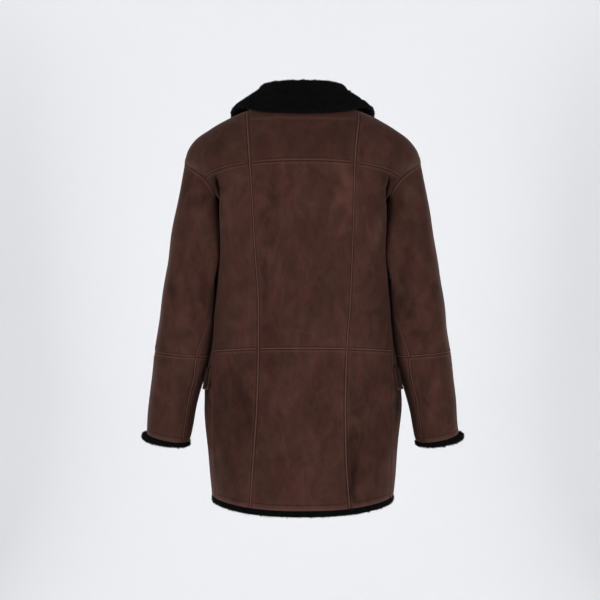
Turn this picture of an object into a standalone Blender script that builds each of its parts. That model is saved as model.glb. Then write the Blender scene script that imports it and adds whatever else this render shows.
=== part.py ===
"""Shearling coat, filled out as it is worn, hollow and open at neck, hem, cuffs and armholes.

Blender 4.5 script. Metres, +Z up. The coat's front faces -Y and the wearer's left is +X.
The origin is midway between the shoulders, at the height of the shoulder where the collar crosses it.

Two smooth surfaces carry every panel:
- the torso, a loft of level sections from hem to neck, addressed by a turn about Z
  (0 at centre back, a quarter turn at the wearer's left side, a half turn at centre front) and a height;
- the sleeve, a fan of sections between its outer line and its inner line, which starts on the armhole.
Seams are curves in those two coordinates, and each cut piece is a four-sided patch between seams.
"""

import math

import bmesh
import bpy
import numpy as np
from mathutils import Matrix, Vector

# ---------------------------------------------------------------- sizes

SKIN = 0.005  # suede and its clipped fleece, together
SEAM_GAP = 0.0003
EDGE_PULL = 0.00024  # each edge's share of the gap, with some to spare where two edges are faceted differently
SHARED_NORMAL = (0.2, 0.8)  # cosines between which two panels go from a sharp crease to one smooth run
NECK_SIDE_TURN = math.radians(105)  # where the forward shoulder seam meets the neck
STEP, SHARE_STEP, AROUND_STEP = 1e-4, 0.002, 0.1  # for slopes: along the torso, along a sleeve and round it
SETTLE_STEPS = 30  # for the point where two seams cross

# Level sections of the torso, bottom to top.
TORSO_COLUMNS = ("height", "half_width", "back_depth", "front_depth", "squareness")
TORSO = (
    (-0.860, 0.1880, 0.148, 0.147, 2.5),
    (-0.800, 0.1945, 0.146, 0.145, 2.5),
    (-0.730, 0.2015, 0.143, 0.142, 2.5),
    (-0.655, 0.2075, 0.141, 0.141, 2.5),
    (-0.600, 0.2105, 0.139, 0.140, 2.5),
    (-0.550, 0.2035, 0.136, 0.138, 2.5),
    (-0.500, 0.1955, 0.134, 0.137, 2.6),
    (-0.450, 0.1910, 0.134, 0.138, 2.7),
    (-0.400, 0.1865, 0.136, 0.140, 2.9),
    (-0.330, 0.1835, 0.139, 0.142, 3.2),
    (-0.250, 0.1825, 0.140, 0.142, 3.4),
    (-0.200, 0.1840, 0.139, 0.138, 3.2),
    (-0.170, 0.1960, 0.137, 0.134, 3.0),
    (-0.147, 0.2125, 0.134, 0.130, 2.8),
    (-0.130, 0.2310, 0.132, 0.127, 2.65),
    (-0.109, 0.2515, 0.129, 0.124, 2.5),
    (-0.090, 0.2475, 0.125, 0.119, 2.5),
    (-0.064, 0.2330, 0.117, 0.111, 2.45),
    (-0.038, 0.2020, 0.107, 0.101, 2.4),
    (-0.025, 0.1790, 0.1005, 0.095, 2.35),
    (-0.0125, 0.1530, 0.0925, 0.087, 2.3),
    (0.0046, 0.1090, 0.0790, 0.073, 2.2),
    (0.0200, 0.0800, 0.0660, 0.062, 2.1),
)

# The soft fold at the back of each armhole: the back's fullness ends in a crest, and the cloth between it and the
# armhole seam lies deeper. Distances are from the centre line.
FOLD_COLUMNS = ("height", "crest", "seam", "depth")
FOLD = (
    (-0.320, 0.1790, 0.1830, 0.000),
    (-0.250, 0.1750, 0.1800, 0.005),
    (-0.205, 0.1725, 0.1790, 0.011),
    (-0.175, 0.1710, 0.1890, 0.016),
    (-0.150, 0.1700, 0.2030, 0.011),
    (-0.128, 0.1690, 0.2200, 0.000),
)
FOLD_ROUND = 0.010  # width of the crest's rounding
FOLD_RISE_LEFT = 0.15  # share of the depth that is left at the seam
FOLD_FADE = 4.0  # how quickly the fold fades towards the side

# The hanging arm presses the body's side in along the side line, and the back's fullness swells out behind it.
PRESS_COLUMNS = ("height", "depth", "swell")
PRESS = (
    (-0.640, 0.0000, 0.0000),
    (-0.600, 0.0030, 0.0000),
    (-0.560, 0.0060, 0.0020),
    (-0.520, 0.0050, 0.0050),
    (-0.460, 0.0045, 0.0080),
    (-0.400, 0.0040, 0.0050),
    (-0.350, 0.0020, 0.0040),
    (-0.290, 0.0000, 0.0000),
)
PRESS_REACH = 0.055  # either way of the side line
SWELL_AT, SWELL_REACH = 0.065, 0.045  # behind the side line

# The armhole in side view is an upright egg, fuller in front.
ARMHOLE_TOP, ARMHOLE_BOTTOM = -0.109, -0.330
ARMHOLE_BACK, ARMHOLE_FRONT = 0.072, 0.078
ARMHOLE_SQUARENESS = 2.05

# Sections of the sleeve, armhole to cuff. The outer line runs from the shoulder tip, the inner from the underarm.
SLEEVE_COLUMNS = (
    "share", "outer_x", "outer_z", "inner_x", "inner_z", "half_depth", "centre_y", "back_drop", "squareness"
)
SLEEVE = (
    (0.00, 0.2515, -0.109, 0.1835, -0.330, 0.0750, -0.003, 0.000, 2.05),
    (0.10, 0.2599, -0.155, 0.1858, -0.350, 0.0755, -0.002, 0.000, 2.2),
    (0.22, 0.2710, -0.215, 0.1860, -0.375, 0.0750, 0.000, 0.000, 2.4),
    (0.36, 0.2845, -0.295, 0.1866, -0.408, 0.0730, 0.002, 0.000, 2.5),
    (0.50, 0.2978, -0.380, 0.1900, -0.450, 0.0690, 0.003, 0.001, 2.5),
    (0.68, 0.3153, -0.510, 0.1958, -0.521, 0.0630, 0.001, 0.003, 2.4),
    (0.76, 0.3215, -0.553, 0.2112, -0.566, 0.0602, -0.006, 0.005, 2.3),
    (0.84, 0.3270, -0.598, 0.2260, -0.612, 0.0572, -0.015, 0.007, 2.2),
    (1.00, 0.3365, -0.688, 0.2450, -0.706, 0.0530, -0.034, 0.009, 2.1),
)
SLEEVE_BLEND = 0.42  # share of the sleeve over which it leaves the armhole's own shape
ELBOW_SHARE = 0.68
SLEEVE_TAIL = 0.02  # the last stretch of the sleeve, whose direction the fleece past the cuff keeps

# Turns about the sleeve, in degrees: 0 at its outer line, 90 at its back, 180 at its inner line.
SHOULDER_SEAM_AT, YOKE_SEAM_AT, UNDERARM_AT, HIND_SEAM_AT, FORE_SEAM_AT = -20.0, 49.0, 180.0, 166.0, 212.0
HIND_SEAM = ((0.0, 166.0), (0.50, 158.0), (0.68, 142.0), (0.84, 136.0), (1.0, 138.0))
FORE_SEAM = ((0.0, 212.0), (0.68, 214.0), (1.0, 214.0))

# Upright seams of the back, as distances from the centre line. The hides don't match exactly from side to side.
PRINCESS_COLUMNS = ("height", "left", "right")
PRINCESS_SEAM = (
    (-0.860, 0.1105, 0.0990),
    (-0.820, 0.1088, 0.0965),
    (-0.709, 0.1016, 0.0896),
    (-0.617, 0.0958, 0.0888),
    (-0.505, 0.0928, 0.0922),
    (-0.402, 0.0926, 0.0990),
    (-0.322, 0.0977, 0.1020),
    (-0.203, 0.1047, 0.1060),
    (-0.120, 0.1106, 0.1085),
    (-0.020, 0.1185, 0.1190),
)
PRINCESS_BEND = 1.4  # how late the seam turns forward under the collar
SIDE_SEAM_COLUMNS = ("height", "distance")
SIDE_SEAM = ((-0.86, 0.1800), (-0.75, 0.1860), (-0.65, 0.1885), (-0.56, 0.1890))

HEM_SIDE, HEM_BACK_DROP, HEM_FRONT_DROP = -0.815, 0.0170, 0.006
WAIST_SIDE, WAIST_BACK_RISE = -0.511, 0.009
YOKE_CENTRE, YOKE_BEND = -0.116, 1.9
NECK_BACK, NECK_SIDE_RISE = 0.0040, 0.012

# Closure: the wearer's right front laps over the left.
FRONT_EDGE = 0.030  # each front runs this far past the centre line
LAP_RECESS = 0.0092  # how far the lower front lies under the upper one
LAP_START, LAP_END = 0.062, 0.038
ROLL_TOP = (0.066, -0.036)  # the lapel's fold, as (distance from centre, height)
BREAK_HEIGHT = -0.300
LAPEL_NOTCH = (0.150, -0.112)
LAPEL_FEET = {  # lower ends of the fold and of the free edge
    "right": ((-0.026, -0.293), (-0.023, -0.297)),
    "left": ((0.011, -0.212), (0.030, -0.245)),  # this one goes in under the upper front
}
LAPEL_BELLY = (0.012, -0.004)  # how far the free edge swells, outwards and down
LAPEL_THICK, LAPEL_CLEAR = 0.010, 0.0018
NOTCH_GAP = 0.004
GORGE_CLEAR = 0.002  # the lapel's fold starts this far outside the collar's foot

BUTTON_HEIGHTS = (-0.345, -0.450, -0.555, -0.660)
BUTTON_RADIUS, BUTTON_THICK, BUTTON_ROUND = 0.0140, 0.0050, 0.0012

FLAP_TOP, FLAP_HEIGHT, FLAP_LENGTH, FLAP_CORNER = -0.545, 0.046, 0.150, 0.014
FLAP_CORNER_ANGLES = (0.0, 30.0, 60.0)
FLAP_THICK, FLAP_CLEAR = 0.0038, 0.0013
FLAP_SEAM_GAP = 0.003
FLAP_PATH_END, FLAP_PATH_COUNT = math.radians(162), 200  # the level line that the flaps' lengths are measured along

# Collar stations from centre back to the front end: the share of the neckline, the top of the roll, the free edge.
COLLAR_COLUMNS = ("share", "roll", "edge")
COLLAR = (
    (0.00, (0.000, 0.0720, 0.0515), (0.000, 0.1075, -0.0155)),
    (0.18, (0.041, 0.0630, 0.0515), (0.060, 0.0985, -0.0125)),
    (0.36, (0.070, 0.0370, 0.0525), (0.106, 0.0700, -0.0030)),
    (0.50, (0.081, 0.0040, 0.0530), (0.138, 0.0180, 0.0090)),
    (0.64, (0.082, -0.0320, 0.0500), (0.154, -0.0340, 0.0030)),
    (0.83, (0.077, -0.0700, 0.0300), (0.157, -0.0840, -0.0310)),
    (1.00, (0.068, -0.1080, -0.0040), (0.150, -0.1200, -0.0760)),
)
COLLAR_THICK, COLLAR_ROLL, COLLAR_BELLY = 0.011, 0.0090, 0.002
COLLAR_LIFT = 0.0016  # above the seam, so that it clears the wall it is sewn to
COLLAR_BASE_TILT = 0.1  # the base stands across the wall and only leans towards the band's own slant
COLLAR_STAND_AT = 0.6  # share of the stand's height at which it leaves the neck's own slant
COLLAR_EDGE_THIN = 0.45  # the pile rounds off towards the free edge
NOTCH_AT = 0.30  # where the collar ends, as a share of the front's neckline

# The fleece past a suede edge, in rows of (how far down it is, how far it stands out, how deep it is).
CUFF_PILE = (
    (0.0006, 0.0000, 0.0120),
    (0.0033, 0.0060, 0.0120),
    (0.0083, 0.0060, 0.0100),
    (0.0110, 0.0006, 0.0080),
)
HEM_PILE = (
    (0.0004, 0.0000, 0.0065),
    (0.0045, 0.0005, 0.0065),
    (0.0102, 0.0005, 0.0050),
    (0.0128, -0.0010, 0.0025),
)

# Grid counts.
CENTRE_COLUMNS, SIDE_COLUMNS, FRONT_COLUMNS = 10, 7, 10
NOTCH_ROWS, FOLD_ROWS = 2, 4
YOKE_ROWS, SIDE_ROWS, LOWER_ROWS = 4, 4, 6
SLEEVE_UPPER_ROWS, SLEEVE_LOWER_ROWS = 8, 4
COLLAR_STATIONS, LAPEL_ROWS, LAPEL_COLUMNS = 23, 8, 5
FLAP_COLUMNS, FLAP_ROWS = 10, 3
CUFF_COLUMNS, BUTTON_SIDES = 20, 20

COLOURS = {
    "suede": ((0.060, 0.026, 0.020), 0.92),
    "fleece": ((0.006, 0.006, 0.006), 1.0),
    "button": ((0.030, 0.016, 0.012), 0.35),
}


# ---------------------------------------------------------------- curves and surfaces


def smooth(keys, values, at):
    """A curve through the values that never overshoots: cubic pieces whose slopes are the neighbours' harmonic mean."""
    keys, values, at = np.asarray(keys, float), np.asarray(values, float), np.asarray(at, float)
    rise = np.diff(values) / np.diff(keys)
    slope = np.empty_like(values)
    slope[0], slope[-1] = rise[0], rise[-1]
    product = rise[:-1] * rise[1:]
    total = np.where(product > 0, rise[:-1] + rise[1:], 1.0)
    slope[1:-1] = np.where(product > 0, 2 * product / total, 0.0)
    k = np.clip(np.searchsorted(keys, at, side="right") - 1, 0, len(keys) - 2)
    width = keys[k + 1] - keys[k]
    t = (at - keys[k]) / width
    return (
        values[k] * (1 + 2 * t) * (1 - t) ** 2
        + values[k + 1] * t * t * (3 - 2 * t)
        + slope[k] * width * t * (1 - t) ** 2
        - slope[k + 1] * width * t * t * (1 - t)
    )


def column(table, names, name, at):
    rows = np.array(table, float)
    return smooth(rows[:, 0], rows[:, names.index(name)], at)


def torso_size(height, front):
    """(half width, depth on that side, squareness) of the level section at a height."""
    depth = np.where(
        front,
        column(TORSO, TORSO_COLUMNS, "front_depth", height),
        column(TORSO, TORSO_COLUMNS, "back_depth", height),
    )
    return (
        column(TORSO, TORSO_COLUMNS, "half_width", height),
        depth,
        column(TORSO, TORSO_COLUMNS, "squareness", height),
    )


def signed_power(value, power):
    return np.sign(value) * np.abs(value) ** power


def eased(value):
    value = np.clip(value, 0, 1)
    return value * value * (3 - 2 * value)


def fold_depth(distance, height):
    """How deep the cloth lies behind the crest of the fold at the back of the armhole."""
    height = np.clip(height, FOLD[0][0], FOLD[-1][0])
    crest, seam, depth = (column(FOLD, FOLD_COLUMNS, name, height) for name in FOLD_COLUMNS[1:])
    past = distance - crest
    return depth * eased(past / FOLD_ROUND + 0.5) * (1 - (1 - FOLD_RISE_LEFT) * eased(past / (seam - crest)))


def press_offset(y, height):
    """How far the side stands out because of the arm: inwards on the side line, outwards behind it."""
    height = np.clip(height, PRESS[0][0], PRESS[-1][0])
    depth, swell = (column(PRESS, PRESS_COLUMNS, name, height) for name in PRESS_COLUMNS[1:])
    return swell * eased(1 - np.abs(y - SWELL_AT) / SWELL_REACH) - depth * eased(1 - np.abs(y) / PRESS_REACH)


def torso(turn, height):
    """Point of the torso's outer face: a level superellipse, wider than it is deep, with the fold at the back of
    each armhole and the mark of each arm on the side."""
    turn, height = np.broadcast_arrays(np.asarray(turn, float), np.asarray(height, float))
    width, depth, square = torso_size(height, np.cos(turn) < 0)
    x = width * signed_power(np.sin(turn), 2 / square)
    y = depth * signed_power(np.cos(turn), 2 / square)
    y = y - fold_depth(np.abs(x), height) * eased(np.cos(turn) * FOLD_FADE)
    x = x + np.sin(turn) * press_offset(y, height)
    return np.stack([x, y, height], axis=-1)


def turn_at(distance, height, front=False):
    """The turn at which the section at a height lies that far from the centre line, on the wearer's left."""
    distance = np.asarray(distance, float)
    width, _, square = torso_size(height, front)
    quarter = np.arcsin(np.clip(np.abs(distance) / width, 0, 1) ** (square / 2))
    if not front:
        return np.sign(distance) * quarter
    return np.where(distance >= 0, math.pi - quarter, math.pi + quarter)


def unit(vectors):
    return vectors / np.maximum(np.linalg.norm(vectors, axis=-1, keepdims=True), 1e-12)


def torso_normal(turn, height):
    across = torso(turn + STEP, height) - torso(turn - STEP, height)
    up = torso(turn, height + STEP) - torso(turn, height - STEP)
    return unit(np.cross(across, up)) * -1.0


def armhole(around):
    """(turn, height, point) of the left armhole at an angle in degrees around it: 0 on top, 90 at the back."""
    angle = np.radians(around)
    middle, half = (ARMHOLE_TOP + ARMHOLE_BOTTOM) / 2, (ARMHOLE_TOP - ARMHOLE_BOTTOM) / 2
    height = middle + half * signed_power(np.cos(angle), 2 / ARMHOLE_SQUARENESS)
    reach = np.where(np.sin(angle) >= 0, ARMHOLE_BACK, ARMHOLE_FRONT)
    y = reach * signed_power(np.sin(angle), 2 / ARMHOLE_SQUARENESS)
    _, depth, square = torso_size(height, y < 0)
    turn = np.arccos(signed_power(y / depth, square / 2))
    return turn, height, torso(turn, height)


def sleeve_section(around, share):
    angle = np.radians(around)
    size = {name: column(SLEEVE, SLEEVE_COLUMNS, name, share) for name in SLEEVE_COLUMNS[1:]}
    out_x, out_z = size["outer_x"] - size["inner_x"], size["outer_z"] - size["inner_z"]
    reach = signed_power(np.cos(angle), 2 / size["squareness"]) / 2
    back = signed_power(np.sin(angle), 2 / size["squareness"])
    return np.stack(
        [
            (size["outer_x"] + size["inner_x"]) / 2 + out_x * reach,
            size["centre_y"] + size["half_depth"] * back,
            (size["outer_z"] + size["inner_z"]) / 2 + out_z * reach - size["back_drop"] * back,
        ],
        axis=-1,
    )


def sleeve(around, share):
    """Point of the left sleeve's outer face. It starts exactly on the armhole and settles into its own sections.
    Past a share of 1 it runs straight on."""
    around, share = np.broadcast_arrays(np.asarray(around, float), np.asarray(share, float))
    fade = np.clip(1 - share / SLEEVE_BLEND, 0, 1)[..., None] ** 2
    start = armhole(around)[2] - sleeve_section(around, np.zeros_like(share))
    inside = np.minimum(share, 1.0)
    tail = np.full_like(share, 1 - SLEEVE_TAIL)
    end = sleeve_section(around, np.ones_like(share)) - sleeve_section(around, tail)
    beyond = np.maximum(share - 1.0, 0.0)[..., None] / SLEEVE_TAIL
    return sleeve_section(around, inside) + start * fade + end * beyond


def sleeve_normal(around, share):
    low, high = np.maximum(share - SHARE_STEP, 0.0), share + SHARE_STEP
    along = sleeve(around, high) - sleeve(around, low)
    across = sleeve(around + AROUND_STEP, share) - sleeve(around - AROUND_STEP, share)
    return unit(np.cross(across, along)) * -1.0


def seam_normal(own, other):
    """Where two panels run on smoothly across a seam they share one normal; at a sharp crease each keeps its own."""
    sharp, even = SHARED_NORMAL
    alike = np.clip((np.sum(own * other, axis=-1, keepdims=True) - sharp) / (even - sharp), 0, 1)
    return unit(own + other * alike)


# ---------------------------------------------------------------- seams


def hem_height(turn):
    back = np.clip(np.cos(turn), 0, 1) ** 2
    front = np.clip(-np.cos(turn), 0, 1) ** 2
    return HEM_SIDE - HEM_BACK_DROP * back - HEM_FRONT_DROP * front


def waist_height(turn):
    return WAIST_SIDE + WAIST_BACK_RISE * np.clip(np.cos(turn), 0, 1) ** 2


def yoke_height(turn):
    end_turn, end_height, _ = armhole(YOKE_SEAM_AT)
    share = np.abs(np.sin(turn)) / math.sin(end_turn)
    return YOKE_CENTRE + (end_height - YOKE_CENTRE) * share**YOKE_BEND


def neck_height(turn):
    return NECK_BACK + NECK_SIDE_RISE * np.sin(turn) ** 2


def settle(turn_of_height, height_of_turn, start):
    """Where an upright seam, turn_of_height, crosses a level one, height_of_turn."""
    height = start
    for _ in range(SETTLE_STEPS):
        height = float(height_of_turn(turn_of_height(height)))
    return float(turn_of_height(height)), height


def table_seam(table, names, name, height, end_turn, end_height, bend):
    """Turn of an upright seam: its table's distance up to the table's last row, then an even swing to its end."""
    last = table[-1][0]
    capped = np.minimum(height, last)
    low = turn_at(column(table, names, name, capped), capped)
    rise = np.clip((np.asarray(height, float) - last) / (end_height - last), 0, 1)
    return low + (end_turn - low) * rise**bend


def princess_turn(side):
    """The back's upright seam on one side, as a function of height. Under the collar it bends forward to the neck's
    side. Turns count up towards that side."""
    top = float(neck_height(NECK_SIDE_TURN))
    return lambda height: table_seam(
        PRINCESS_SEAM, PRINCESS_COLUMNS, side, height, NECK_SIDE_TURN, top, PRINCESS_BEND
    )


def side_turn(height):
    """The side seam, from the foot of the armhole to the hem."""
    start_turn, start_height, _ = armhole(UNDERARM_AT)
    return table_seam(SIDE_SEAM, SIDE_SEAM_COLUMNS, "distance", height, start_turn, start_height, 1.0)


def line(start, end, count):
    """(turn, height) points from start to end, evenly spaced."""
    return np.linspace(np.array(start, float), np.array(end, float), count + 1)


def upright(turn_of_height, top, bottom, count):
    heights = np.linspace(top, bottom, count + 1)
    return np.stack([turn_of_height(heights), heights], axis=1)


def level(height_of_turn, start, end, count):
    turns = np.linspace(start, end, count + 1)
    return np.stack([turns, height_of_turn(turns)], axis=1)


def joined(*runs):
    return np.concatenate([runs[0]] + [run[1:] for run in runs[1:]])


def patch(left, right, top, bottom):
    """Grid of (turn, height) between four edges, rows from top to bottom and columns from left to right."""
    down = np.linspace(0, 1, len(left))[:, None, None]
    over = np.linspace(0, 1, len(top))[None, :, None]
    sides = left[:, None] * (1 - over) + right[:, None] * over
    ends = top[None] * (1 - down) + bottom[None] * down
    corners = (
        top[0] * (1 - over) * (1 - down)
        + top[-1] * over * (1 - down)
        + bottom[0] * (1 - over) * down
        + bottom[-1] * over * down
    )
    return sides + ends - corners


# ---------------------------------------------------------------- walls


def open_seams(grid):
    """Draws each edge of a grid of points back from its seam."""
    grid = grid.copy()
    for edge, inner in ((0, 1), (-1, -2)):
        grid[edge] += unit(grid[inner] - grid[edge]) * EDGE_PULL
        grid[:, edge] += unit(grid[:, inner] - grid[:, edge]) * EDGE_PULL
    return grid


def materials():
    made = {}
    for name, (colour, roughness) in COLOURS.items():
        material = bpy.data.materials.new(name)
        material.use_nodes = True
        shader = material.node_tree.nodes["Principled BSDF"]
        shader.inputs["Base Color"].default_value = (*colour, 1.0)
        shader.inputs["Roughness"].default_value = roughness
        shader.inputs["Metallic"].default_value = 0.0
        made[name] = material
    return made


def add_object(name, bm, material):
    bmesh.ops.recalc_face_normals(bm, faces=bm.faces)
    mesh = bpy.data.meshes.new(name)
    bm.to_mesh(mesh)
    bm.free()
    mesh.shade_smooth()
    mesh.set_sharp_from_angle(angle=math.radians(40))
    mesh.materials.append(material)
    made = bpy.data.objects.new(name, mesh)
    bpy.context.scene.collection.objects.link(made)
    return made


def wall(name, outer, inner, material, closed=False):
    """A cloth wall between two grids of points. A closed one joins its last column to its first."""
    bm = bmesh.new()
    rows, columns = outer.shape[:2]
    faces = [[[bm.verts.new(point) for point in row] for row in grid] for grid in (outer, inner)]
    last = columns if closed else columns - 1
    for side in faces:
        for r in range(rows - 1):
            for c in range(last):
                d = (c + 1) % columns
                bm.faces.new((side[r][c], side[r][d], side[r + 1][d], side[r + 1][c]))
    out, inn = faces
    for r in (0, rows - 1):
        for c in range(last):
            d = (c + 1) % columns
            bm.faces.new((out[r][c], out[r][d], inn[r][d], inn[r][c]))
    if not closed:
        for c in (0, columns - 1):
            for r in range(rows - 1):
                bm.faces.new((out[r][c], out[r + 1][c], inn[r + 1][c], inn[r][c]))
    return add_object(name, bm, material)


def mirrored(points):
    return points * np.array([-1.0, 1.0, 1.0])


def both_sides(name, outer, inner, material, closed=False):
    wall(name + "_left", outer, inner, material, closed)
    wall(name + "_right", mirrored(outer), mirrored(inner), material, closed)


def torso_wall(grid, armhole_rows=()):
    """Outer and inner faces of a torso panel from its grid of (turn, height). Its last column starts along the
    armhole at the given angles, where it shares the sleeve's normals."""
    outer = torso(grid[..., 0], grid[..., 1])
    normal = torso_normal(grid[..., 0], grid[..., 1])
    if len(armhole_rows):
        normal[: len(armhole_rows), -1] = armhole_normals(armhole_rows)[0]
    return open_seams(outer), open_seams(outer - SKIN * normal)


# ---------------------------------------------------------------- the pieces


def armhole_normals(around):
    """The torso's and the sleeve's shared normals round the armhole, each as its own side uses them."""
    turn, height, _ = armhole(around)
    own, other = torso_normal(turn, height), sleeve_normal(around, np.zeros_like(around))
    return seam_normal(own, other), seam_normal(other, own)


LOOP = {  # angles round the armhole that the panels and the sleeve both use
    "yoke": np.linspace(SHOULDER_SEAM_AT, YOKE_SEAM_AT, YOKE_ROWS + 1),
    "back": np.append(np.linspace(YOKE_SEAM_AT, HIND_SEAM_AT, 6), UNDERARM_AT),
    "front": np.concatenate([[UNDERARM_AT, 196.0], np.linspace(FORE_SEAM_AT, 360.0 + SHOULDER_SEAM_AT, 6)]),
}


def armhole_edge(angles):
    turn, height, _ = armhole(angles)
    return np.stack([turn, height], axis=1)


LEVEL_SEAMS = {"shoulder": neck_height, "yoke": yoke_height, "waist": waist_height, "hem": hem_height}
LEVEL_STARTS = {"yoke": YOKE_CENTRE, "waist": WAIST_SIDE, "hem": HEM_SIDE}
BACK_PARTS = {  # the level seams above and below each row of panels
    "yoke": ("shoulder", "yoke"),
    "back_upper": ("yoke", "waist"),
    "back_lower": ("waist", "hem"),
}


def side_edges():
    """The outer edge of each row of panels: round the armhole, then down the side seam."""
    waist = settle(side_turn, waist_height, WAIST_SIDE)[1]
    hem = settle(side_turn, hem_height, HEM_SIDE)[1]
    return {
        "yoke": armhole_edge(LOOP["yoke"]),
        "back_upper": joined(armhole_edge(LOOP["back"]), upright(side_turn, ARMHOLE_BOTTOM, waist, SIDE_ROWS)),
        "back_lower": upright(side_turn, waist, hem, LOWER_ROWS),
    }


def princess_edges(side, outer_edges):
    """The inner edge of each row of panels on one side, with as many points as its outer edge."""
    seam = princess_turn(side)
    bends = [float(neck_height(NECK_SIDE_TURN))]
    bends += [settle(seam, LEVEL_SEAMS[name], start)[1] for name, start in LEVEL_STARTS.items()]
    return {
        part: upright(seam, bends[k], bends[k + 1], len(outer_edges[part]) - 1)
        for k, part in enumerate(BACK_PARTS)
    }


def back_panels(suede, outer_edges):
    """Three rows of three panels: a yoke, the back above the waist seam and the back below it."""
    inner_edges = {side: princess_edges(side, outer_edges) for side in ("left", "right")}
    flip = np.array([-1.0, 1.0])
    armhole_rows = {"yoke": LOOP["yoke"], "back_upper": LOOP["back"]}
    for part, seams in BACK_PARTS.items():
        left, right = (inner_edges[side][part] for side in ("left", "right"))
        ends = [level(LEVEL_SEAMS[seam], -right[k, 0], left[k, 0], CENTRE_COLUMNS) for seam, k in zip(seams, (0, -1))]
        centre = patch(right * flip, left, *ends)
        wall(part + "_centre", *torso_wall(centre), suede)

        outer_edge = outer_edges[part]
        for side, edge, scale in (("left", left, 1.0), ("right", right, -1.0)):
            ends = []
            for seam, k in zip(seams, (0, -1)):
                if seam == "shoulder":
                    ends.append(line(edge[k], outer_edge[k], SIDE_COLUMNS))
                else:
                    ends.append(level(LEVEL_SEAMS[seam], edge[k, 0], outer_edge[k, 0], SIDE_COLUMNS))
            grid = patch(edge, outer_edge, *ends)
            outer, inner = torso_wall(grid, armhole_rows.get(part, ()))
            turned = np.array([scale, 1.0, 1.0])
            wall(f"{part}_{side}", outer * turned, inner * turned, suede)


def roll_line(share):
    """(turn, height) along the front's neckline, from the neck's side (0) down the lapel's fold to the break (1)."""
    top = torso(NECK_SIDE_TURN, float(neck_height(NECK_SIDE_TURN)))
    bends = np.array([top[[0, 2]], ROLL_TOP, (-FRONT_EDGE, BREAK_HEIGHT)])
    reach = np.append(0, np.linalg.norm(np.diff(bends, axis=0), axis=1).cumsum())
    x, height = smooth(reach, bends[:, 0], share * reach[-1]), smooth(reach, bends[:, 1], share * reach[-1])
    return np.stack([turn_at(x, height, front=True), height], axis=-1)


def lap_recess(distance):
    """How far the lower front lies under the upper one, that far from the centre line."""
    return LAP_RECESS * eased((LAP_START - distance) / (LAP_START - LAP_END))


def front_panels(suede, outer_edges):
    """Each front in one piece. The left one steps under the right one near the centre."""
    loop = LOOP["front"][::-1]
    side_seam = outer_edges["back_upper"][len(LOOP["back"]) - 1 :]
    outer_edge = joined(armhole_edge(loop), side_seam, outer_edges["back_lower"])
    shares = joined(np.linspace(0, NOTCH_AT, NOTCH_ROWS + 1), np.linspace(NOTCH_AT, 1, FOLD_ROWS + 1))
    fold = roll_line(shares)
    rows = len(outer_edge) - len(fold)
    heights = np.linspace(BREAK_HEIGHT, float(hem_height(math.pi)), rows + 1)
    edge = np.stack([turn_at(np.full_like(heights, -FRONT_EDGE), heights, front=True), heights], axis=1)
    inner_edge = joined(fold, edge)
    top = line(outer_edge[0], inner_edge[0], FRONT_COLUMNS)
    bottom = level(hem_height, outer_edge[-1, 0], inner_edge[-1, 0], FRONT_COLUMNS)
    grid = patch(outer_edge, inner_edge, top, bottom)
    outer = torso(grid[..., 0], grid[..., 1])
    normal = torso_normal(grid[..., 0], grid[..., 1])
    normal[: len(loop), 0] = armhole_normals(loop)[0]
    wall("front_right", mirrored(open_seams(outer)), mirrored(open_seams(outer - SKIN * normal)), suede)
    outer = outer - normal * lap_recess(outer[..., 0])[..., None]
    wall("front_left", open_seams(outer), open_seams(outer - SKIN * normal), suede)
    return grid[-1]


def sleeves(suede):
    """Four pieces to a sleeve: a broad top and a narrow under piece, each cut across at the elbow."""
    runs = {
        "top": np.concatenate([LOOP["front"][2:] - 360.0, LOOP["yoke"][1:], LOOP["back"][1:-1]]),
        "under": np.append(LOOP["back"][-2:], LOOP["front"][1:3]),
    }
    hind, fore = np.array(HIND_SEAM), np.array(FORE_SEAM)
    halves = {
        "upper": np.linspace(0.0, ELBOW_SHARE, SLEEVE_UPPER_ROWS + 1),
        "lower": np.linspace(ELBOW_SHARE, 1.0, SLEEVE_LOWER_ROWS + 1),
    }
    for run_name, angles in runs.items():
        for half_name, shares in halves.items():
            first = (angles - angles[0]) / (angles[-1] - angles[0])
            hind_at, fore_at = smooth(*hind.T, shares), smooth(*fore.T, shares)
            start, end = (fore_at - 360.0, hind_at) if run_name == "top" else (hind_at, fore_at)
            around = start[:, None] + (end - start)[:, None] * first
            share = np.broadcast_to(shares[:, None], around.shape)
            outer, normal = sleeve(around, share), sleeve_normal(around, share)
            if half_name == "upper":
                normal[0] = armhole_normals(around[0])[1]
            both_sides(
                f"sleeve_{run_name}_{half_name}",
                open_seams(outer),
                open_seams(outer - SKIN * normal),
                suede,
            )


def cuff_fleece(fleece):
    """The pile that stands past each cuff's suede edge: a soft ring, a little proud of the sleeve."""
    around = np.linspace(0, 360, CUFF_COLUMNS, endpoint=False)
    length = np.linalg.norm(sleeve(90.0, 1.0) - sleeve(90.0, 1.0 - SLEEVE_TAIL)) / SLEEVE_TAIL
    normal = sleeve_normal(around, 1.0 - SHARE_STEP)
    outer, inner = [], []
    for down, proud, depth in CUFF_PILE:
        row = sleeve(around, 1.0 + down / length) + normal * proud
        outer.append(row)
        inner.append(row - normal * depth)
    both_sides("cuff_fleece", np.stack(outer), np.stack(inner), fleece, closed=True)


def hem_fleece(name, turns, heights, fleece, recess, side=1.0):
    """The pile below the suede's hem, on the same wall line."""
    edge = torso(turns, heights)
    normal = torso_normal(turns, heights)
    normal[:, 2] = 0
    normal = unit(normal)
    outer, inner = [], []
    for down, proud, depth in HEM_PILE:
        row = edge - [0, 0, down] + normal * (proud - recess(edge[:, 0]))[:, None]
        outer.append(row)
        inner.append(row - normal * depth)
    scale = np.array([side, 1.0, 1.0])
    wall(name, open_seams(np.stack(outer)) * scale, open_seams(np.stack(inner)) * scale, fleece)


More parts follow.
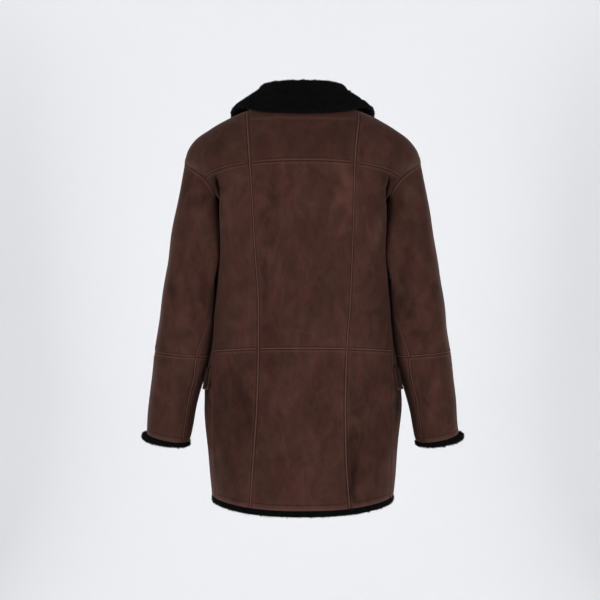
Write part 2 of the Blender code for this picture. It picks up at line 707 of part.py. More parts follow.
def hem_pieces(fleece, side_hem_turn, front_hem):
    back = level(hem_height, -side_hem_turn, side_hem_turn, CENTRE_COLUMNS + 2 * SIDE_COLUMNS)
    hem_fleece("hem_fleece_back", back[:, 0], back[:, 1], fleece, np.zeros_like)
    hem_fleece("hem_fleece_front_right", front_hem[:, 0], front_hem[:, 1], fleece, np.zeros_like, side=-1.0)
    hem_fleece("hem_fleece_front_left", front_hem[:, 0], front_hem[:, 1], fleece, lap_recess)


def neckline(share):
    """Point and outward direction in the middle of the wall's top edge, from centre back (0) to the notch (1)."""
    turns = np.linspace(0, NECK_SIDE_TURN, CENTRE_COLUMNS // 2 + 1)
    back = np.stack([turns, neck_height(turns)], axis=1)
    corners = joined(back, roll_line(np.linspace(0, NOTCH_AT, NOTCH_ROWS + 1)))
    outer, normal = torso(*corners.T), torso_normal(*corners.T)
    middle = outer - normal * SKIN / 2
    reach = np.append(0, np.linalg.norm(np.diff(middle, axis=0), axis=1).cumsum())
    at = share * reach[-1]
    return tuple(np.stack([np.interp(at, reach, part[:, k]) for k in range(3)], axis=1) for part in (middle, normal))


def collar(fleece):
    """A folded band of fleece: the stand rises from the neck, rolls over, and falls to the free edge."""
    shares = [row[0] for row in COLLAR]
    stations = np.linspace(-1, 1, COLLAR_STATIONS)
    side = np.where(stations < 0, -1.0, 1.0)[:, None] * [1.0, 0.0, 0.0] + [0.0, 1.0, 1.0]
    reach = np.abs(stations)
    roll, edge = (
        np.stack([smooth(shares, [row[k][axis] for row in COLLAR], reach) for axis in range(3)], axis=1) * side
        for k in map(COLLAR_COLUMNS.index, ("roll", "edge"))
    )
    neck, base_normal = (part * side for part in neckline(reach))
    up = np.array([0.0, 0.0, 1.0])
    neck = neck + up * COLLAR_LIFT
    out = edge - neck
    out[:, 2] = 0
    out = unit(out)
    middle = roll - up * COLLAR_ROLL
    stand_top, fall_top = middle - out * COLLAR_ROLL, middle + out * COLLAR_ROLL
    path = [neck, neck + (stand_top - neck) * COLLAR_STAND_AT, stand_top]
    path += [middle + COLLAR_ROLL * (math.cos(a) * out + math.sin(a) * up) for a in np.radians([135, 90, 45])]
    pull = (fall_top + edge) / 2 + unit(out + up) * COLLAR_BELLY
    for share in np.linspace(0, 1, 5):
        path.append(fall_top * (1 - share) ** 2 + 2 * pull * share * (1 - share) + edge * share**2)
    path = np.stack(path)
    normal = unit(np.cross(np.gradient(path, axis=1), np.gradient(path, axis=0)))
    normal = normal * np.sign(np.sum(normal[-2] * out, axis=-1))[None, :, None]
    normal[0] = unit(normal[1] * COLLAR_BASE_TILT - base_normal)
    half_thick = COLLAR_THICK / 2 * np.append(np.ones(len(path) - 1), COLLAR_EDGE_THIN)[:, None, None]
    wall("collar", path + normal * half_thick, path - normal * half_thick, fleece)


def lapels(fleece):
    """The turned-back fleece of each front, lying on the chest: from the fold to a free edge that swells a little."""
    down = np.linspace(0, 1, LAPEL_ROWS + 1)[:, None, None]
    over = np.linspace(0, 1, LAPEL_COLUMNS + 1)[None, :, None]
    gorge = np.array(ROLL_TOP) + [GORGE_CLEAR, -NOTCH_GAP]
    notch = np.array(LAPEL_NOTCH) - [0.0, NOTCH_GAP]
    belly = np.array(LAPEL_BELLY) * np.sin(math.pi * down)
    for side, (fold_foot, free_foot) in LAPEL_FEET.items():
        fold = gorge * (1 - down) + np.array(fold_foot) * down
        free = notch * (1 - down) + np.array(free_foot) * down + belly
        grid = fold * (1 - over) + free * over
        turn = turn_at(grid[..., 0], grid[..., 1], front=True)
        inner = torso(turn, grid[..., 1]) + torso_normal(turn, grid[..., 1]) * LAPEL_CLEAR
        outer = inner + torso_normal(turn, grid[..., 1]) * LAPEL_THICK
        if side == "right":
            outer, inner = mirrored(outer), mirrored(inner)
        wall("lapel_" + side, outer, inner, fleece)


def flaps(suede):
    """Pocket flaps with round lower corners, from the side seam forwards."""
    turns = np.linspace(float(side_turn(FLAP_TOP)), FLAP_PATH_END, FLAP_PATH_COUNT)
    points = torso(turns, np.full_like(turns, FLAP_TOP))
    reach = np.concatenate([[0], np.cumsum(np.linalg.norm(np.diff(points, axis=0), axis=1))])
    corner = FLAP_CORNER * (1 - np.cos(np.radians(FLAP_CORNER_ANGLES))) / FLAP_LENGTH
    at = np.concatenate([corner, np.linspace(FLAP_CORNER / FLAP_LENGTH, 0.5, FLAP_COLUMNS // 2 - 1)])
    at = joined(at, 1 - at[::-1])
    along = FLAP_SEAM_GAP + at * FLAP_LENGTH
    over = np.interp(along, reach, turns)
    inside = np.clip(1 - np.minimum(at, 1 - at) * FLAP_LENGTH / FLAP_CORNER, 0, 1)
    lift = FLAP_CORNER * (1 - np.sqrt(1 - inside**2))
    down = np.linspace(0, 1, FLAP_ROWS + 1)[:, None]
    height = FLAP_TOP - down * (FLAP_HEIGHT - lift)
    turn = np.broadcast_to(over, height.shape)
    base, normal = torso(turn, height), torso_normal(turn, height)
    both_sides("pocket_flap", base + normal * (FLAP_THICK + FLAP_CLEAR), base + normal * FLAP_CLEAR, suede)


def buttons(material):
    """Four round buttons down the centre line, fastened through the upper front."""
    for number, height in enumerate(BUTTON_HEIGHTS, 1):
        base = torso(math.pi, height)
        normal = torso_normal(math.pi, height)
        bm = bmesh.new()
        disc = {"segments": BUTTON_SIDES, "radius1": BUTTON_RADIUS, "radius2": BUTTON_RADIUS, "depth": BUTTON_THICK}
        bmesh.ops.create_cone(bm, cap_ends=True, **disc)
        rims = [edge for edge in bm.edges if abs(edge.verts[0].co.z - edge.verts[1].co.z) < BUTTON_THICK / 2]
        bmesh.ops.bevel(bm, geom=rims, offset=BUTTON_ROUND, segments=1, affect="EDGES")
        tilt = Vector((0, 0, 1)).rotation_difference(Vector(normal)).to_matrix().to_4x4()
        centre = Vector(base + normal * (BUTTON_THICK / 2 + SEAM_GAP))
        bmesh.ops.transform(bm, matrix=Matrix.Translation(centre) @ tilt, verts=bm.verts)
        add_object(f"button_{number}", bm, material)


def main():
    for old in list(bpy.data.objects):
        bpy.data.objects.remove(old)
    finish = materials()
    edges = side_edges()
    back_panels(finish["suede"], edges)
    front_hem = front_panels(finish["suede"], edges)
    sleeves(finish["suede"])
    cuff_fleece(finish["fleece"])
    hem_pieces(finish["fleece"], edges["back_lower"][-1, 0], front_hem)
    collar(finish["fleece"])
    lapels(finish["fleece"])
    flaps(finish["suede"])
    buttons(finish["button"])


main()
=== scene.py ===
"""Shearling coat in worn form, hollow, seen from behind: dark brown suede outside, black fleece inside.

Metres, +Z up; the coat's front faces -Y and the wearer's left is +X. Each cut piece is a wall on the same
smooth form as its solid, with its seam edges, stitch channels, creases and soft unevenness worked into
the outer face.
"""

import math
from functools import partial

import bpy
import numpy as np
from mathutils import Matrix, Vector


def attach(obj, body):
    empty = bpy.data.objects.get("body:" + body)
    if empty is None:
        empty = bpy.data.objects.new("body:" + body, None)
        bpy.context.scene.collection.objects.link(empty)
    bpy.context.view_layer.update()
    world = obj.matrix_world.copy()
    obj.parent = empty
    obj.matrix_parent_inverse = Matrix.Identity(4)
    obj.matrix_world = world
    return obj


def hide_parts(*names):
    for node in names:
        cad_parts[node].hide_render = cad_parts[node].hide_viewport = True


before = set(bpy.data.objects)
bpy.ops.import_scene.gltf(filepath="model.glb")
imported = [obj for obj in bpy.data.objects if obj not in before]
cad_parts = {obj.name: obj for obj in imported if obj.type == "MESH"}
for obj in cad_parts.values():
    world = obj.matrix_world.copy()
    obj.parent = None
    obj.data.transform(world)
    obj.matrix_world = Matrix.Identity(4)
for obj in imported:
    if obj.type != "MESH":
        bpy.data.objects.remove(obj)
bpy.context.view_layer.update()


# ---------------------------------------------------------------- the back
# Nine panels of suede with the fleece left on the inner side: a yoke, a row above the waist seam and a
# row below it, each cut in three by two upright seams. Every seam is lapped and topstitched, and the hem
# is turned and stitched.


def smooth(keys, values, at):
    """A curve through the values that never overshoots: cubic pieces whose slopes are the neighbours'
    harmonic mean. Beyond its two ends it is level."""
    keys, values = np.asarray(keys, float), np.asarray(values, float)
    at = np.clip(at, keys[0], keys[-1])
    rise = np.diff(values) / np.diff(keys)
    product = rise[:-1] * rise[1:]
    total = np.where(product > 0, rise[:-1] + rise[1:], 1.0)
    slope = np.concatenate([rise[:1], np.where(product > 0, 2 * product / total, 0.0), rise[-1:]])
    k = np.clip(np.searchsorted(keys, at, side="right") - 1, 0, len(keys) - 2)
    width = keys[k + 1] - keys[k]
    t = (at - keys[k]) / width
    start = values[k] * (1 + 2 * t) + slope[k] * width * t
    end = values[k + 1] * (3 - 2 * t) - slope[k + 1] * width * (1 - t)
    return start * (1 - t) ** 2 + end * t * t


def curves(names, *rows):
    """Smooth curves over a table's first column: one for each of its other columns, by name."""
    keys, *columns = np.array(rows, float).T
    return {name: partial(smooth, keys, values) for name, values in zip(names.split()[1:], columns)}


def read(table, at):
    """The values of all of a table's curves."""
    return [curve(at) for curve in table.values()]


def eased(value):
    """0 below 0, 1 above 1, and a smooth S between them: 3v² - 2v³."""
    value = np.clip(value, 0, 1)
    return value * value * (3 - 2 * value)


def faded(value, start, end):
    """The same S, from 0 at the start to 1 at the end."""
    return eased((value - start) / (end - start))


LEAST_LENGTH = 1e-12  # below it a direction counts as none


def signed_power(value, power):
    """The size of a value to a power, with the value's own sign."""
    return np.sign(value) * np.abs(value) ** power


def unit(vectors):
    """Each vector divided by its length."""
    return vectors / np.maximum(np.linalg.norm(vectors, axis=-1, keepdims=True), LEAST_LENGTH)


SKIN = 0.005  # suede and clipped fleece, together
EDGE_PULL = 0.00015  # how far each panel's edge is drawn back from its seam
TORSO = curves(
    "height half_width back_depth front_depth squareness",
    (-0.86, 0.188, 0.148, 0.147, 2.5), (-0.8, 0.1945, 0.146, 0.145, 2.5),
    (-0.73, 0.2015, 0.143, 0.142, 2.5), (-0.655, 0.2075, 0.141, 0.141, 2.5),
    (-0.6, 0.2105, 0.139, 0.14, 2.5), (-0.55, 0.2035, 0.136, 0.138, 2.5),
    (-0.5, 0.1955, 0.134, 0.137, 2.6), (-0.45, 0.191, 0.134, 0.138, 2.7),
    (-0.4, 0.1865, 0.136, 0.14, 2.9), (-0.33, 0.1835, 0.139, 0.142, 3.2),
    (-0.25, 0.1825, 0.14, 0.142, 3.4), (-0.2, 0.184, 0.139, 0.138, 3.2),
    (-0.17, 0.196, 0.137, 0.134, 3.0), (-0.147, 0.2125, 0.134, 0.13, 2.8),
    (-0.13, 0.231, 0.132, 0.127, 2.65), (-0.109, 0.2515, 0.129, 0.124, 2.5),
    (-0.09, 0.2468, 0.125, 0.119, 2.5), (-0.064, 0.229, 0.117, 0.111, 2.45),
    (-0.038, 0.1945, 0.107, 0.101, 2.4), (-0.025, 0.172, 0.1005, 0.095, 2.35),
    (-0.0125, 0.149, 0.0925, 0.087, 2.3), (0.0046, 0.109, 0.079, 0.073, 2.2),
    (0.02, 0.08, 0.066, 0.062, 2.1),
)

# The fold beside each armhole, whose crest stands over a narrow trough, and the mark that each hanging
# arm leaves on the side below it.
FOLD = curves(
    "height crest depth left",
    (-0.6, 0.195, 0.0, 1.0), (-0.56, 0.1915, 0.004, 1.0), (-0.5, 0.187, 0.01, 1.0),
    (-0.45, 0.185, 0.014, 1.0), (-0.4, 0.1812, 0.018, 1.0), (-0.36, 0.1775, 0.022, 1.0),
    (-0.31, 0.1728, 0.026, 1.0), (-0.25, 0.174, 0.028, 1.0), (-0.205, 0.1742, 0.028, 1.0),
    (-0.19, 0.1722, 0.03, 0.6), (-0.175, 0.1718, 0.03, 0.3), (-0.155, 0.175, 0.022, 0.2),
    (-0.14, 0.177, 0.005, 0.2), (-0.13, 0.177, 0.0, 0.2),
)
FOLD_ROUND, FOLD_WIDTH, FOLD_FADE = 0.003, 0.009, 4.0
PRESS = curves(
    "height depth swell",
    (-0.64, 0.0, 0.0), (-0.6, 0.001, 0.0), (-0.56, 0.0008, 0.0), (-0.52, 0.0, 0.0),
    (-0.46, -0.001, 0.001), (-0.4, -0.0005, 0.001), (-0.35, 0.0, 0.001), (-0.29, 0.0, 0.0),
)
PRESS_REACH, SWELL_AT, SWELL_REACH = 0.055, 0.065, 0.045

ARMHOLE_TOP, ARMHOLE_BOTTOM, ARMHOLE_BACK, ARMHOLE_FRONT = -0.109, -0.330, 0.072, 0.078
ARMHOLE_SQUARENESS = 2.05
SHOULDER_SEAM_AT, YOKE_SEAM_AT, UNDERARM_AT = -20.0, 49.0, 180.0  # degrees round the armhole, 90 at its back
SLEEVE = curves(
    "share outer_x outer_z inner_x inner_z half_depth centre_y back_drop squareness corner inwards",
    (0.0, 0.2515, -0.109, 0.1835, -0.33, 0.075, -0.003, 0.0, 2.05, 0.0, 0.0),
    (0.03, 0.254, -0.123, 0.1842, -0.336, 0.0752, -0.0027, 0.0, 2.1, 2.0, 0.004),
    (0.1, 0.2599, -0.155, 0.1858, -0.35, 0.0755, -0.002, 0.0, 2.2, 3.5, 0.004),
    (0.22, 0.271, -0.215, 0.186, -0.375, 0.075, 0.0, 0.0, 2.4, 4.5, 0.003),
    (0.36, 0.2845, -0.295, 0.185, -0.408, 0.073, 0.002, 0.0, 2.5, 4.0, -0.003),
    (0.5, 0.2978, -0.38, 0.1868, -0.45, 0.069, 0.003, 0.001, 2.5, 2.5, -0.006),
    (0.68, 0.3153, -0.51, 0.1958, -0.521, 0.063, 0.001, 0.003, 2.4, 1.0, -0.005),
    (0.76, 0.3215, -0.553, 0.2085, -0.566, 0.0602, -0.006, 0.004, 2.3, 0.5, -0.001),
    (0.84, 0.327, -0.598, 0.2235, -0.612, 0.0572, -0.015, 0.005, 2.2, 0.0, 0.0),
    (1.0, 0.3365, -0.688, 0.245, -0.706, 0.053, -0.034, 0.0055, 2.1, 0.0, 0.0),
)
HIND_CORNER = (60.0, 180.0)  # degrees round the sleeve
SLEEVE_BLEND, FOLD_BLEND, SLEEVE_TAIL = 0.42, 0.09, 0.02


def torso_size(height, front):
    """(half width, depth on that side, squareness) of the level section at a height."""
    half_width, back_depth, front_depth, square = read(TORSO, height)
    return half_width, np.where(front, front_depth, back_depth), square


def fold_depth(distance, height):
    """Depth past the crest of the fold beside the armhole: a sudden step at the crest, of which a share
    is left past FOLD_WIDTH."""
    crest, depth, left = read(FOLD, height)
    past = distance - crest
    return depth * eased(past / FOLD_ROUND + 0.5) * (1 - (1 - left) * eased(past / FOLD_WIDTH))


def press_offset(y, height):
    """How far the side stands out because of the arm: inwards on the side line, outwards behind it."""
    depth, swell = read(PRESS, height)
    return swell * eased(1 - np.abs(y - SWELL_AT) / SWELL_REACH) - depth * eased(1 - np.abs(y) / PRESS_REACH)


def torso(turn, height, folded=True):
    """Point of the body's form: a level superellipse x = w·sin^(2/n), y = d·cos^(2/n) of the turn about
    Z, with the fold at the back of each armhole and the mark of each arm on the side."""
    turn, height = np.broadcast_arrays(np.asarray(turn, float), np.asarray(height, float))
    width, depth, square = torso_size(height, np.cos(turn) < 0)
    x, y = width * signed_power(np.sin(turn), 2 / square), depth * signed_power(np.cos(turn), 2 / square)
    if folded:
        y = y - fold_depth(np.abs(x), height) * eased(np.cos(turn) * FOLD_FADE)
    return np.stack([x + np.sin(turn) * press_offset(y, height), y, height], axis=-1)


def turn_at(distance, height, front=False):
    """The turn at which the section at a height lies that far from the centre line, on the wearer's
    left."""
    distance = np.asarray(distance, float)
    width, _, square = torso_size(height, front)
    quarter = np.arcsin(np.clip(np.abs(distance) / width, 0, 1) ** (square / 2))
    if not front:
        return np.sign(distance) * quarter
    return np.where(distance >= 0, math.pi - quarter, math.pi + quarter)


def armhole(around):
    """(turn, height, point) of the left armhole at an angle in degrees around it: 0 on top, 90 at the
    back. In side view it is an upright superellipse, fuller in front."""
    up, back = (signed_power(wave(np.radians(around)), 2 / ARMHOLE_SQUARENESS) for wave in (np.cos, np.sin))
    height = (ARMHOLE_TOP + ARMHOLE_BOTTOM) / 2 + (ARMHOLE_TOP - ARMHOLE_BOTTOM) / 2 * up
    y = np.where(back >= 0, ARMHOLE_BACK, ARMHOLE_FRONT) * back
    _, depth, square = torso_size(height, y < 0)
    turn = np.arccos(signed_power(y / depth, square / 2))
    return turn, height, torso(turn, height)


def sleeve_section(around, share):
    """Point on the sleeve's own section: a superellipse between its outer line and its inner line. Its
    hind corner beside the body is squarer and pushed towards it, by a squared sine over HIND_CORNER."""
    out_x, out_z, in_x, in_z, half_depth, centre_y, drop, square, corner, inwards = read(SLEEVE, share)
    first, last = HIND_CORNER
    hind = np.sin(math.pi * np.clip((around % 360.0 - first) / (last - first), 0, 1)) ** 2
    power = 2 / (square + corner * hind)
    out, back = (signed_power(wave(np.radians(around)), power) for wave in (np.cos, np.sin))
    x = (out_x + in_x) / 2 + (out_x - in_x) * out / 2 - inwards * hind
    z = (out_z + in_z) / 2 + (out_z - in_z) * out / 2 - drop * back
    return np.stack([x, centre_y + half_depth * back, z], axis=-1)


def sleeve(around, share):
    """Point of the left sleeve's form: the armhole at share 0, soon out of the depth of the body's fold,
    settling into the sleeve's own sections, and straight on past the cuff at share 1."""
    around, share = np.broadcast_arrays(np.asarray(around, float), np.asarray(share, float))
    fade, dip = (np.clip(1 - share / reach, 0, 1)[..., None] ** 2 for reach in (SLEEVE_BLEND, FOLD_BLEND))
    turn, height, start = armhole(around)
    unfolded = torso(turn, height, folded=False)
    shares = (0.0, 1 - SLEEVE_TAIL, 1.0)
    top, tail, cuff = (sleeve_section(around, np.full_like(share, at)) for at in shares)
    beyond = (cuff - tail) * np.maximum(share - 1.0, 0.0)[..., None] / SLEEVE_TAIL
    own = sleeve_section(around, np.minimum(share, 1.0))
    return own + (unfolded - top) * fade + (start - unfolded) * dip + beyond


BODY_STEPS, SLEEVE_STEPS = (1e-4, 1e-4), (0.1, 0.002)  # for slopes: round the form and along it


def outward(form, first, second):
    """Outward direction of a form at its two coordinates: the cross product of its slopes along them."""
    wide, high = SLEEVE_STEPS if form is sleeve else BODY_STEPS
    low = np.maximum(second - high, 0.0) if form is sleeve else second - high
    along = form(first, second + high) - form(first, low)
    return unit(np.cross(along, form(first + wide, second) - form(first - wide, second)))


def mirrored(side):
    """Scales that turn the wearer's left into that side."""
    return np.array([-1.0 if side == "right" else 1.0, 1.0, 1.0])


ARMHOLE_SAMPLES, ARMHOLE_REACH, SHARED_NORMAL = 361, 0.012, (0.2, 0.8)
SINK, SINK_REACH, SINK_TOP, SINK_SWITCH = 0.006, 0.006, -0.180, 0.020
WAVES, WAVE_SPREAD, WAVE_SUM = 8, (0.6, 1.5), 2.4


def nearest(points, line):
    """Which point of a line is nearest to each of the points, and how far away it is."""
    flat = points.reshape(-1, 3)
    squares = (flat**2).sum(1)[:, None] + (line**2).sum(1)[None] - 2 * flat @ line.T
    away = np.sqrt(np.maximum(squares.min(axis=1), 0))
    return squares.argmin(axis=1).reshape(points.shape[:-1]), away.reshape(points.shape[:-1])


def share_normals(points, own, from_sleeve):
    """Near the armhole the body and the sleeve lean to one shared direction, where they run on smoothly
    into each other, so that their walls meet edge to edge. The lean fades over ARMHOLE_REACH."""
    around = np.linspace(0, 360, ARMHOLE_SAMPLES)
    turn, height, at = armhole(around)
    found, away = nearest(points, at)
    form, *place = (torso, turn, height) if from_sleeve else (sleeve, around, np.zeros_like(around))
    other = outward(form, *place)[found]
    sharp, even = SHARED_NORMAL
    alike = np.clip((np.sum(own * other, axis=-1) - sharp) / (even - sharp), 0, 1)
    return unit(own + other * (alike * eased(1 - away / ARMHOLE_REACH))[..., None])


def armhole_sink(points):
    """How deep the cloth is drawn in at the back of the armhole: a rounded V along the seam, from
    SINK_TOP down."""
    away = nearest(points, armhole(np.linspace(YOKE_SEAM_AT, UNDERARM_AT, ARMHOLE_SAMPLES))[2])[1]
    return SINK * eased(1 - away / SINK_REACH) * eased((SINK_TOP - points[..., 2]) / SINK_SWITCH)


def ripple(points, size, seed):
    """Soft unevenness, mostly between -1 and 1: a sum of eight plane waves in seeded directions, about
    size apart."""
    random = np.random.default_rng(seed)
    ways = unit(random.normal(size=(WAVES, 3)))
    waves = ways * (2 * math.pi / size) * random.uniform(*WAVE_SPREAD, (WAVES, 1))
    phases = random.uniform(0, 2 * math.pi, WAVES)
    return np.sin(points @ waves.T + phases).sum(axis=-1) / WAVE_SUM


MILLIMETRES = 1000  # in one metre

# Edge profiles in millimetres from the edge: how far the suede is lifted, how much lighter the ridge is
# made with rubbed nap and a painted highlight, and how much painted shade lies in the channel. The neck's
# are millimetres down from NECK_BACK, where its stitching runs level.
PROFILES = {
    "over": (  # the upper piece of a lapped seam
        (0.0, -0.8, 0.3, 0.5), (0.5, 0.1, 0.8, 0.0), (1.5, 0.6, 1.0, 0.0), (2.5, 0.45, 0.7, 0.0),
        (3.2, -0.1, 0.0, 0.5), (4.0, -0.4, 0.0, 1.0), (5.2, -0.1, 0.0, 0.5), (6.4, 0.1, 0.1, 0.0),
        (9.0, 0.0, 0.0, 0.0),
    ),
    "under": (  # the piece under it
        (0.0, -1.0, 0.0, 0.9), (1.0, -0.6, 0.0, 0.7), (2.2, -0.2, 0.0, 0.2), (3.6, 0.0, 0.35, 0.0),
        (5.0, 0.0, 0.25, 0.0), (7.5, 0.0, 0.0, 0.0),
    ),
    "cap": (  # the top of the sleeve, under the body's edge
        (0.0, -1.0, 0.0, 0.8), (1.0, -0.5, 0.0, 0.5), (2.0, 0.1, 0.6, 0.0), (3.6, 0.4, 1.0, 0.0),
        (5.2, 0.2, 0.4, 0.0), (7.5, 0.0, 0.0, 0.0),
    ),
    "hem": (  # turned and stitched
        (0.0, -0.9, 0.4, 0.0), (0.8, 0.0, 0.65, 0.0), (3.0, 0.4, 0.5, 0.0), (6.0, 0.5, 0.3, 0.0),
        (10.6, 0.1, 0.1, 0.0), (12.0, -0.6, 0.0, 0.8), (13.4, 0.0, 0.1, 0.1), (18.0, 0.0, 0.0, 0.0),
    ),
    "neck": (  # under the collar, then the row of stitching below it
        (0.0, -1.0, 0.0, 0.0), (3.0, 0.0, 0.0, 0.0), (25.0, 0.0, 0.0, 0.0), (27.5, 0.4, 0.3, 0.0),
        (30.5, 0.4, 0.34, 0.0), (33.0, -0.3, 0.0, 0.3), (35.5, 0.0, 0.0, 0.0),
    ),
    "fold": (  # no edge: the cloth runs on
        (0.0, 0.0, 0.0, 0.0), (1.0, 0.0, 0.0, 0.0),
    ),
}
PROFILES["crest"] = PROFILES["over"]  # the same seam, with the crest of the fold beside it
PROFILES["flat"] = np.array(PROFILES["under"]) * (1, 1, 0.3, 1)  # pressed flatter: a third of the ridge's rubbed nap and painted highlight
# less lift, less of the ridge's rubbed nap and painted highlight, and less painted channel shade
PROFILES["low"] = np.array(PROFILES["over"]) * (1, 0.4, 0.45, 0.6)
PROFILES = {role: curves("away lift ridge groove", *rows) for role, rows in PROFILES.items()}

SEAM_LINES = np.array([0, 0.5, 1.0, 1.7, 2.4, 3.1, 4.0, 5.0, 6.2, 8.4, 11.0]) / 1000
HEM_LINES = np.array([0, 0.5, 1.2, 3.0, 5.0, 7.5, 10.0, 11.1, 12.0, 12.9, 14.0, 16.5, 20.0]) / 1000
EDGE_LINES = {"hem": HEM_LINES, "crest": np.append(SEAM_LINES, np.arange(0.0125, 0.0330, 0.0014))}
STITCH_LINE = {"over": 6, "crest": 6, "low": 6, "hem": 8}  # the grid line that the topstitching follows
SWITCH = 0.012  # over this height an edge goes from one role to the next
SEAM_OWNS, SEAM_YIELDS = 0.0045, 0.0030  # a seam that runs on over another keeps this strip, then gives way
PUCKER, PUCKER_SIZE, ROLLING, ROLLING_SIZE = 0.00022, 0.011, 0.0009, 0.085
PUCKER_STARTS, PUCKER_ENDS, CLEAR_OF_SEAM = (0.004, 0.008), (0.012, 0.026), (0.003, 0.013)  # from the seam
GRID_STEP, MEASURE_LINES, LENGTH_SAMPLES, LEAST_SINE, MOST_CLOSED = 0.006, 33, 9, 0.5, 0.9
NECK_BACK, NECK_SIDE_RISE = 0.0040, 0.012


def run_length(points):
    """Distance along a line of points, from its start to each of them."""
    return np.append(0, np.linalg.norm(np.diff(points, axis=0), axis=1).cumsum())


def values_along(at, reach, values):
    """Rows of values that belong to the distances reach, read off at others."""
    return np.stack([np.interp(at, reach, column) for column in values.T], axis=-1)


def by_length(points, form):
    """A seam as a function of its share from 0 to 1, spread evenly by its real length. Its points are
    pairs of the form's own two coordinates."""
    reach = run_length(form(*points.T))
    return lambda share: values_along(share, reach / reach[-1], points)


def coons(edges, over, down):
    """Point between four edges: the two straight blends of opposite edges, less the blend of the
    corners."""
    left, right, top, bottom = (edges[name] for name in ("left", "right", "top", "bottom"))
    u, v = over[..., None], down[..., None]
    upper, lower = (left(end) * (1 - u) + right(end) * u for end in (0.0, 1.0))
    sides = left(down) * (1 - u) + right(down) * u
    return sides + (top(over) - upper) * (1 - v) + (bottom(over) - lower) * v


def strip_lines(lengths, first, last, count):
    """Distances of the grid's lines from the start of each strip: the first and last lines beside its two
    ends, and even steps between. On a strip too short for them they close up."""
    fit = np.minimum(1, MOST_CLOSED * lengths / (first[-1] + last[-1]))[:, None]
    start, end = first[None] * fit, lengths[:, None] - last[None, ::-1] * fit
    middle = start[:, -1:] + (end[:, :1] - start[:, -1:]) * np.linspace(0, 1, count + 1)[None, 1:-1]
    return np.concatenate([start, middle, end], axis=1)


def line_lengths(grid, axis):
    """Length of each line of a grid of points, along an axis."""
    return np.linalg.norm(np.diff(grid, axis=axis), axis=-1).sum(axis=axis)


def measure(edges, form):
    """Length of the panel's rows and columns, and the sine at which they leave each edge, as functions of
    a share."""
    even = np.linspace(0, 1, MEASURE_LINES)
    points = form(*np.moveaxis(coons(edges, *np.meshgrid(even, even)), -1, 0))
    found = {"rows": line_lengths(points, 1), "columns": line_lengths(points, 0)}
    turned = points.swapaxes(0, 1)
    grids = {"left": turned, "right": turned[::-1], "top": points, "bottom": points[::-1]}
    for edge, grid in grids.items():
        along, away = unit(np.gradient(grid[0], axis=0)), unit(grid[1] - grid[0])
        found[edge] = np.clip(np.linalg.norm(np.cross(along, away), axis=1), LEAST_SINE, 1)
    return {name: partial(np.interp, xp=even, fp=values) for name, values in found.items()}


def panel_grid(edges, roles, form):
    """The panel's grid of form coordinates, and each point's distance to the four edges. Lines crowd
    beside seams."""
    size = measure(edges, form)
    strips = []
    for name, *ends in (("rows", "left", "right"), ("columns", "top", "bottom")):
        first, last = (EDGE_LINES.get(roles[end], SEAM_LINES) for end in ends)
        longest = float(np.max(size[name](np.linspace(0, 1, LENGTH_SAMPLES))))
        count = max(4, round(longest / GRID_STEP))
        strips.append(partial(strip_lines, first=first, last=last, count=count))
    over = (strips[0](size["rows"](np.array([0.5]))) / size["rows"](0.5))[0]
    down = (strips[1](size["columns"](np.array([0.5]))) / size["columns"](0.5))[0]
    row_length, column_length = size["rows"](down)[:, None], size["columns"](over)[None]
    along_rows, along_columns = strips[0](row_length[:, 0]), strips[1](column_length[0]).T
    away = {
        "left": along_rows * size["left"](down)[:, None],
        "right": (row_length - along_rows) * size["right"](down)[:, None],
        "top": along_columns * size["top"](over)[None],
        "bottom": (column_length - along_columns) * size["bottom"](over)[None],
    }
    return coons(edges, along_rows / row_length, along_columns / column_length), away


def role_share(role, heights):
    """(role, share) pairs of an edge. One that changes its role on the way has an upper role, a lower one
    and the height between them."""
    if isinstance(role, str):
        return [(role, 1.0)]
    upper, lower, change = role
    share = eased((heights - change) / SWITCH + 0.5)
    return [(upper, share), (lower, 1 - share)]


def edge_relief(away, roles, order, heights):
    """Lift in metres, the ridge's lightening with rubbed nap and a painted highlight, and the channel's
    painted shade over a panel, and how near its seams are. Seams come in the order in which they run on:
    each later one gives way beside those before it."""
    relief, free, beside = np.zeros((3, *heights.shape)), 1.0, 1.0
    for edge in order:
        sewn = 0.0
        for role, share in role_share(roles[edge], heights):
            reach = NECK_BACK - heights if role == "neck" else away[edge]
            relief = relief + np.array(read(PROFILES[role], reach * MILLIMETRES)) * free * share
            sewn = sewn + share * (role != "fold")
        free = free * (1 - sewn * (1 - eased((away[edge] - SEAM_OWNS) / SEAM_YIELDS)))
        beside = np.minimum(beside, away[edge] + (1 - sewn))
    return relief[0] / MILLIMETRES, relief[1], relief[2], beside


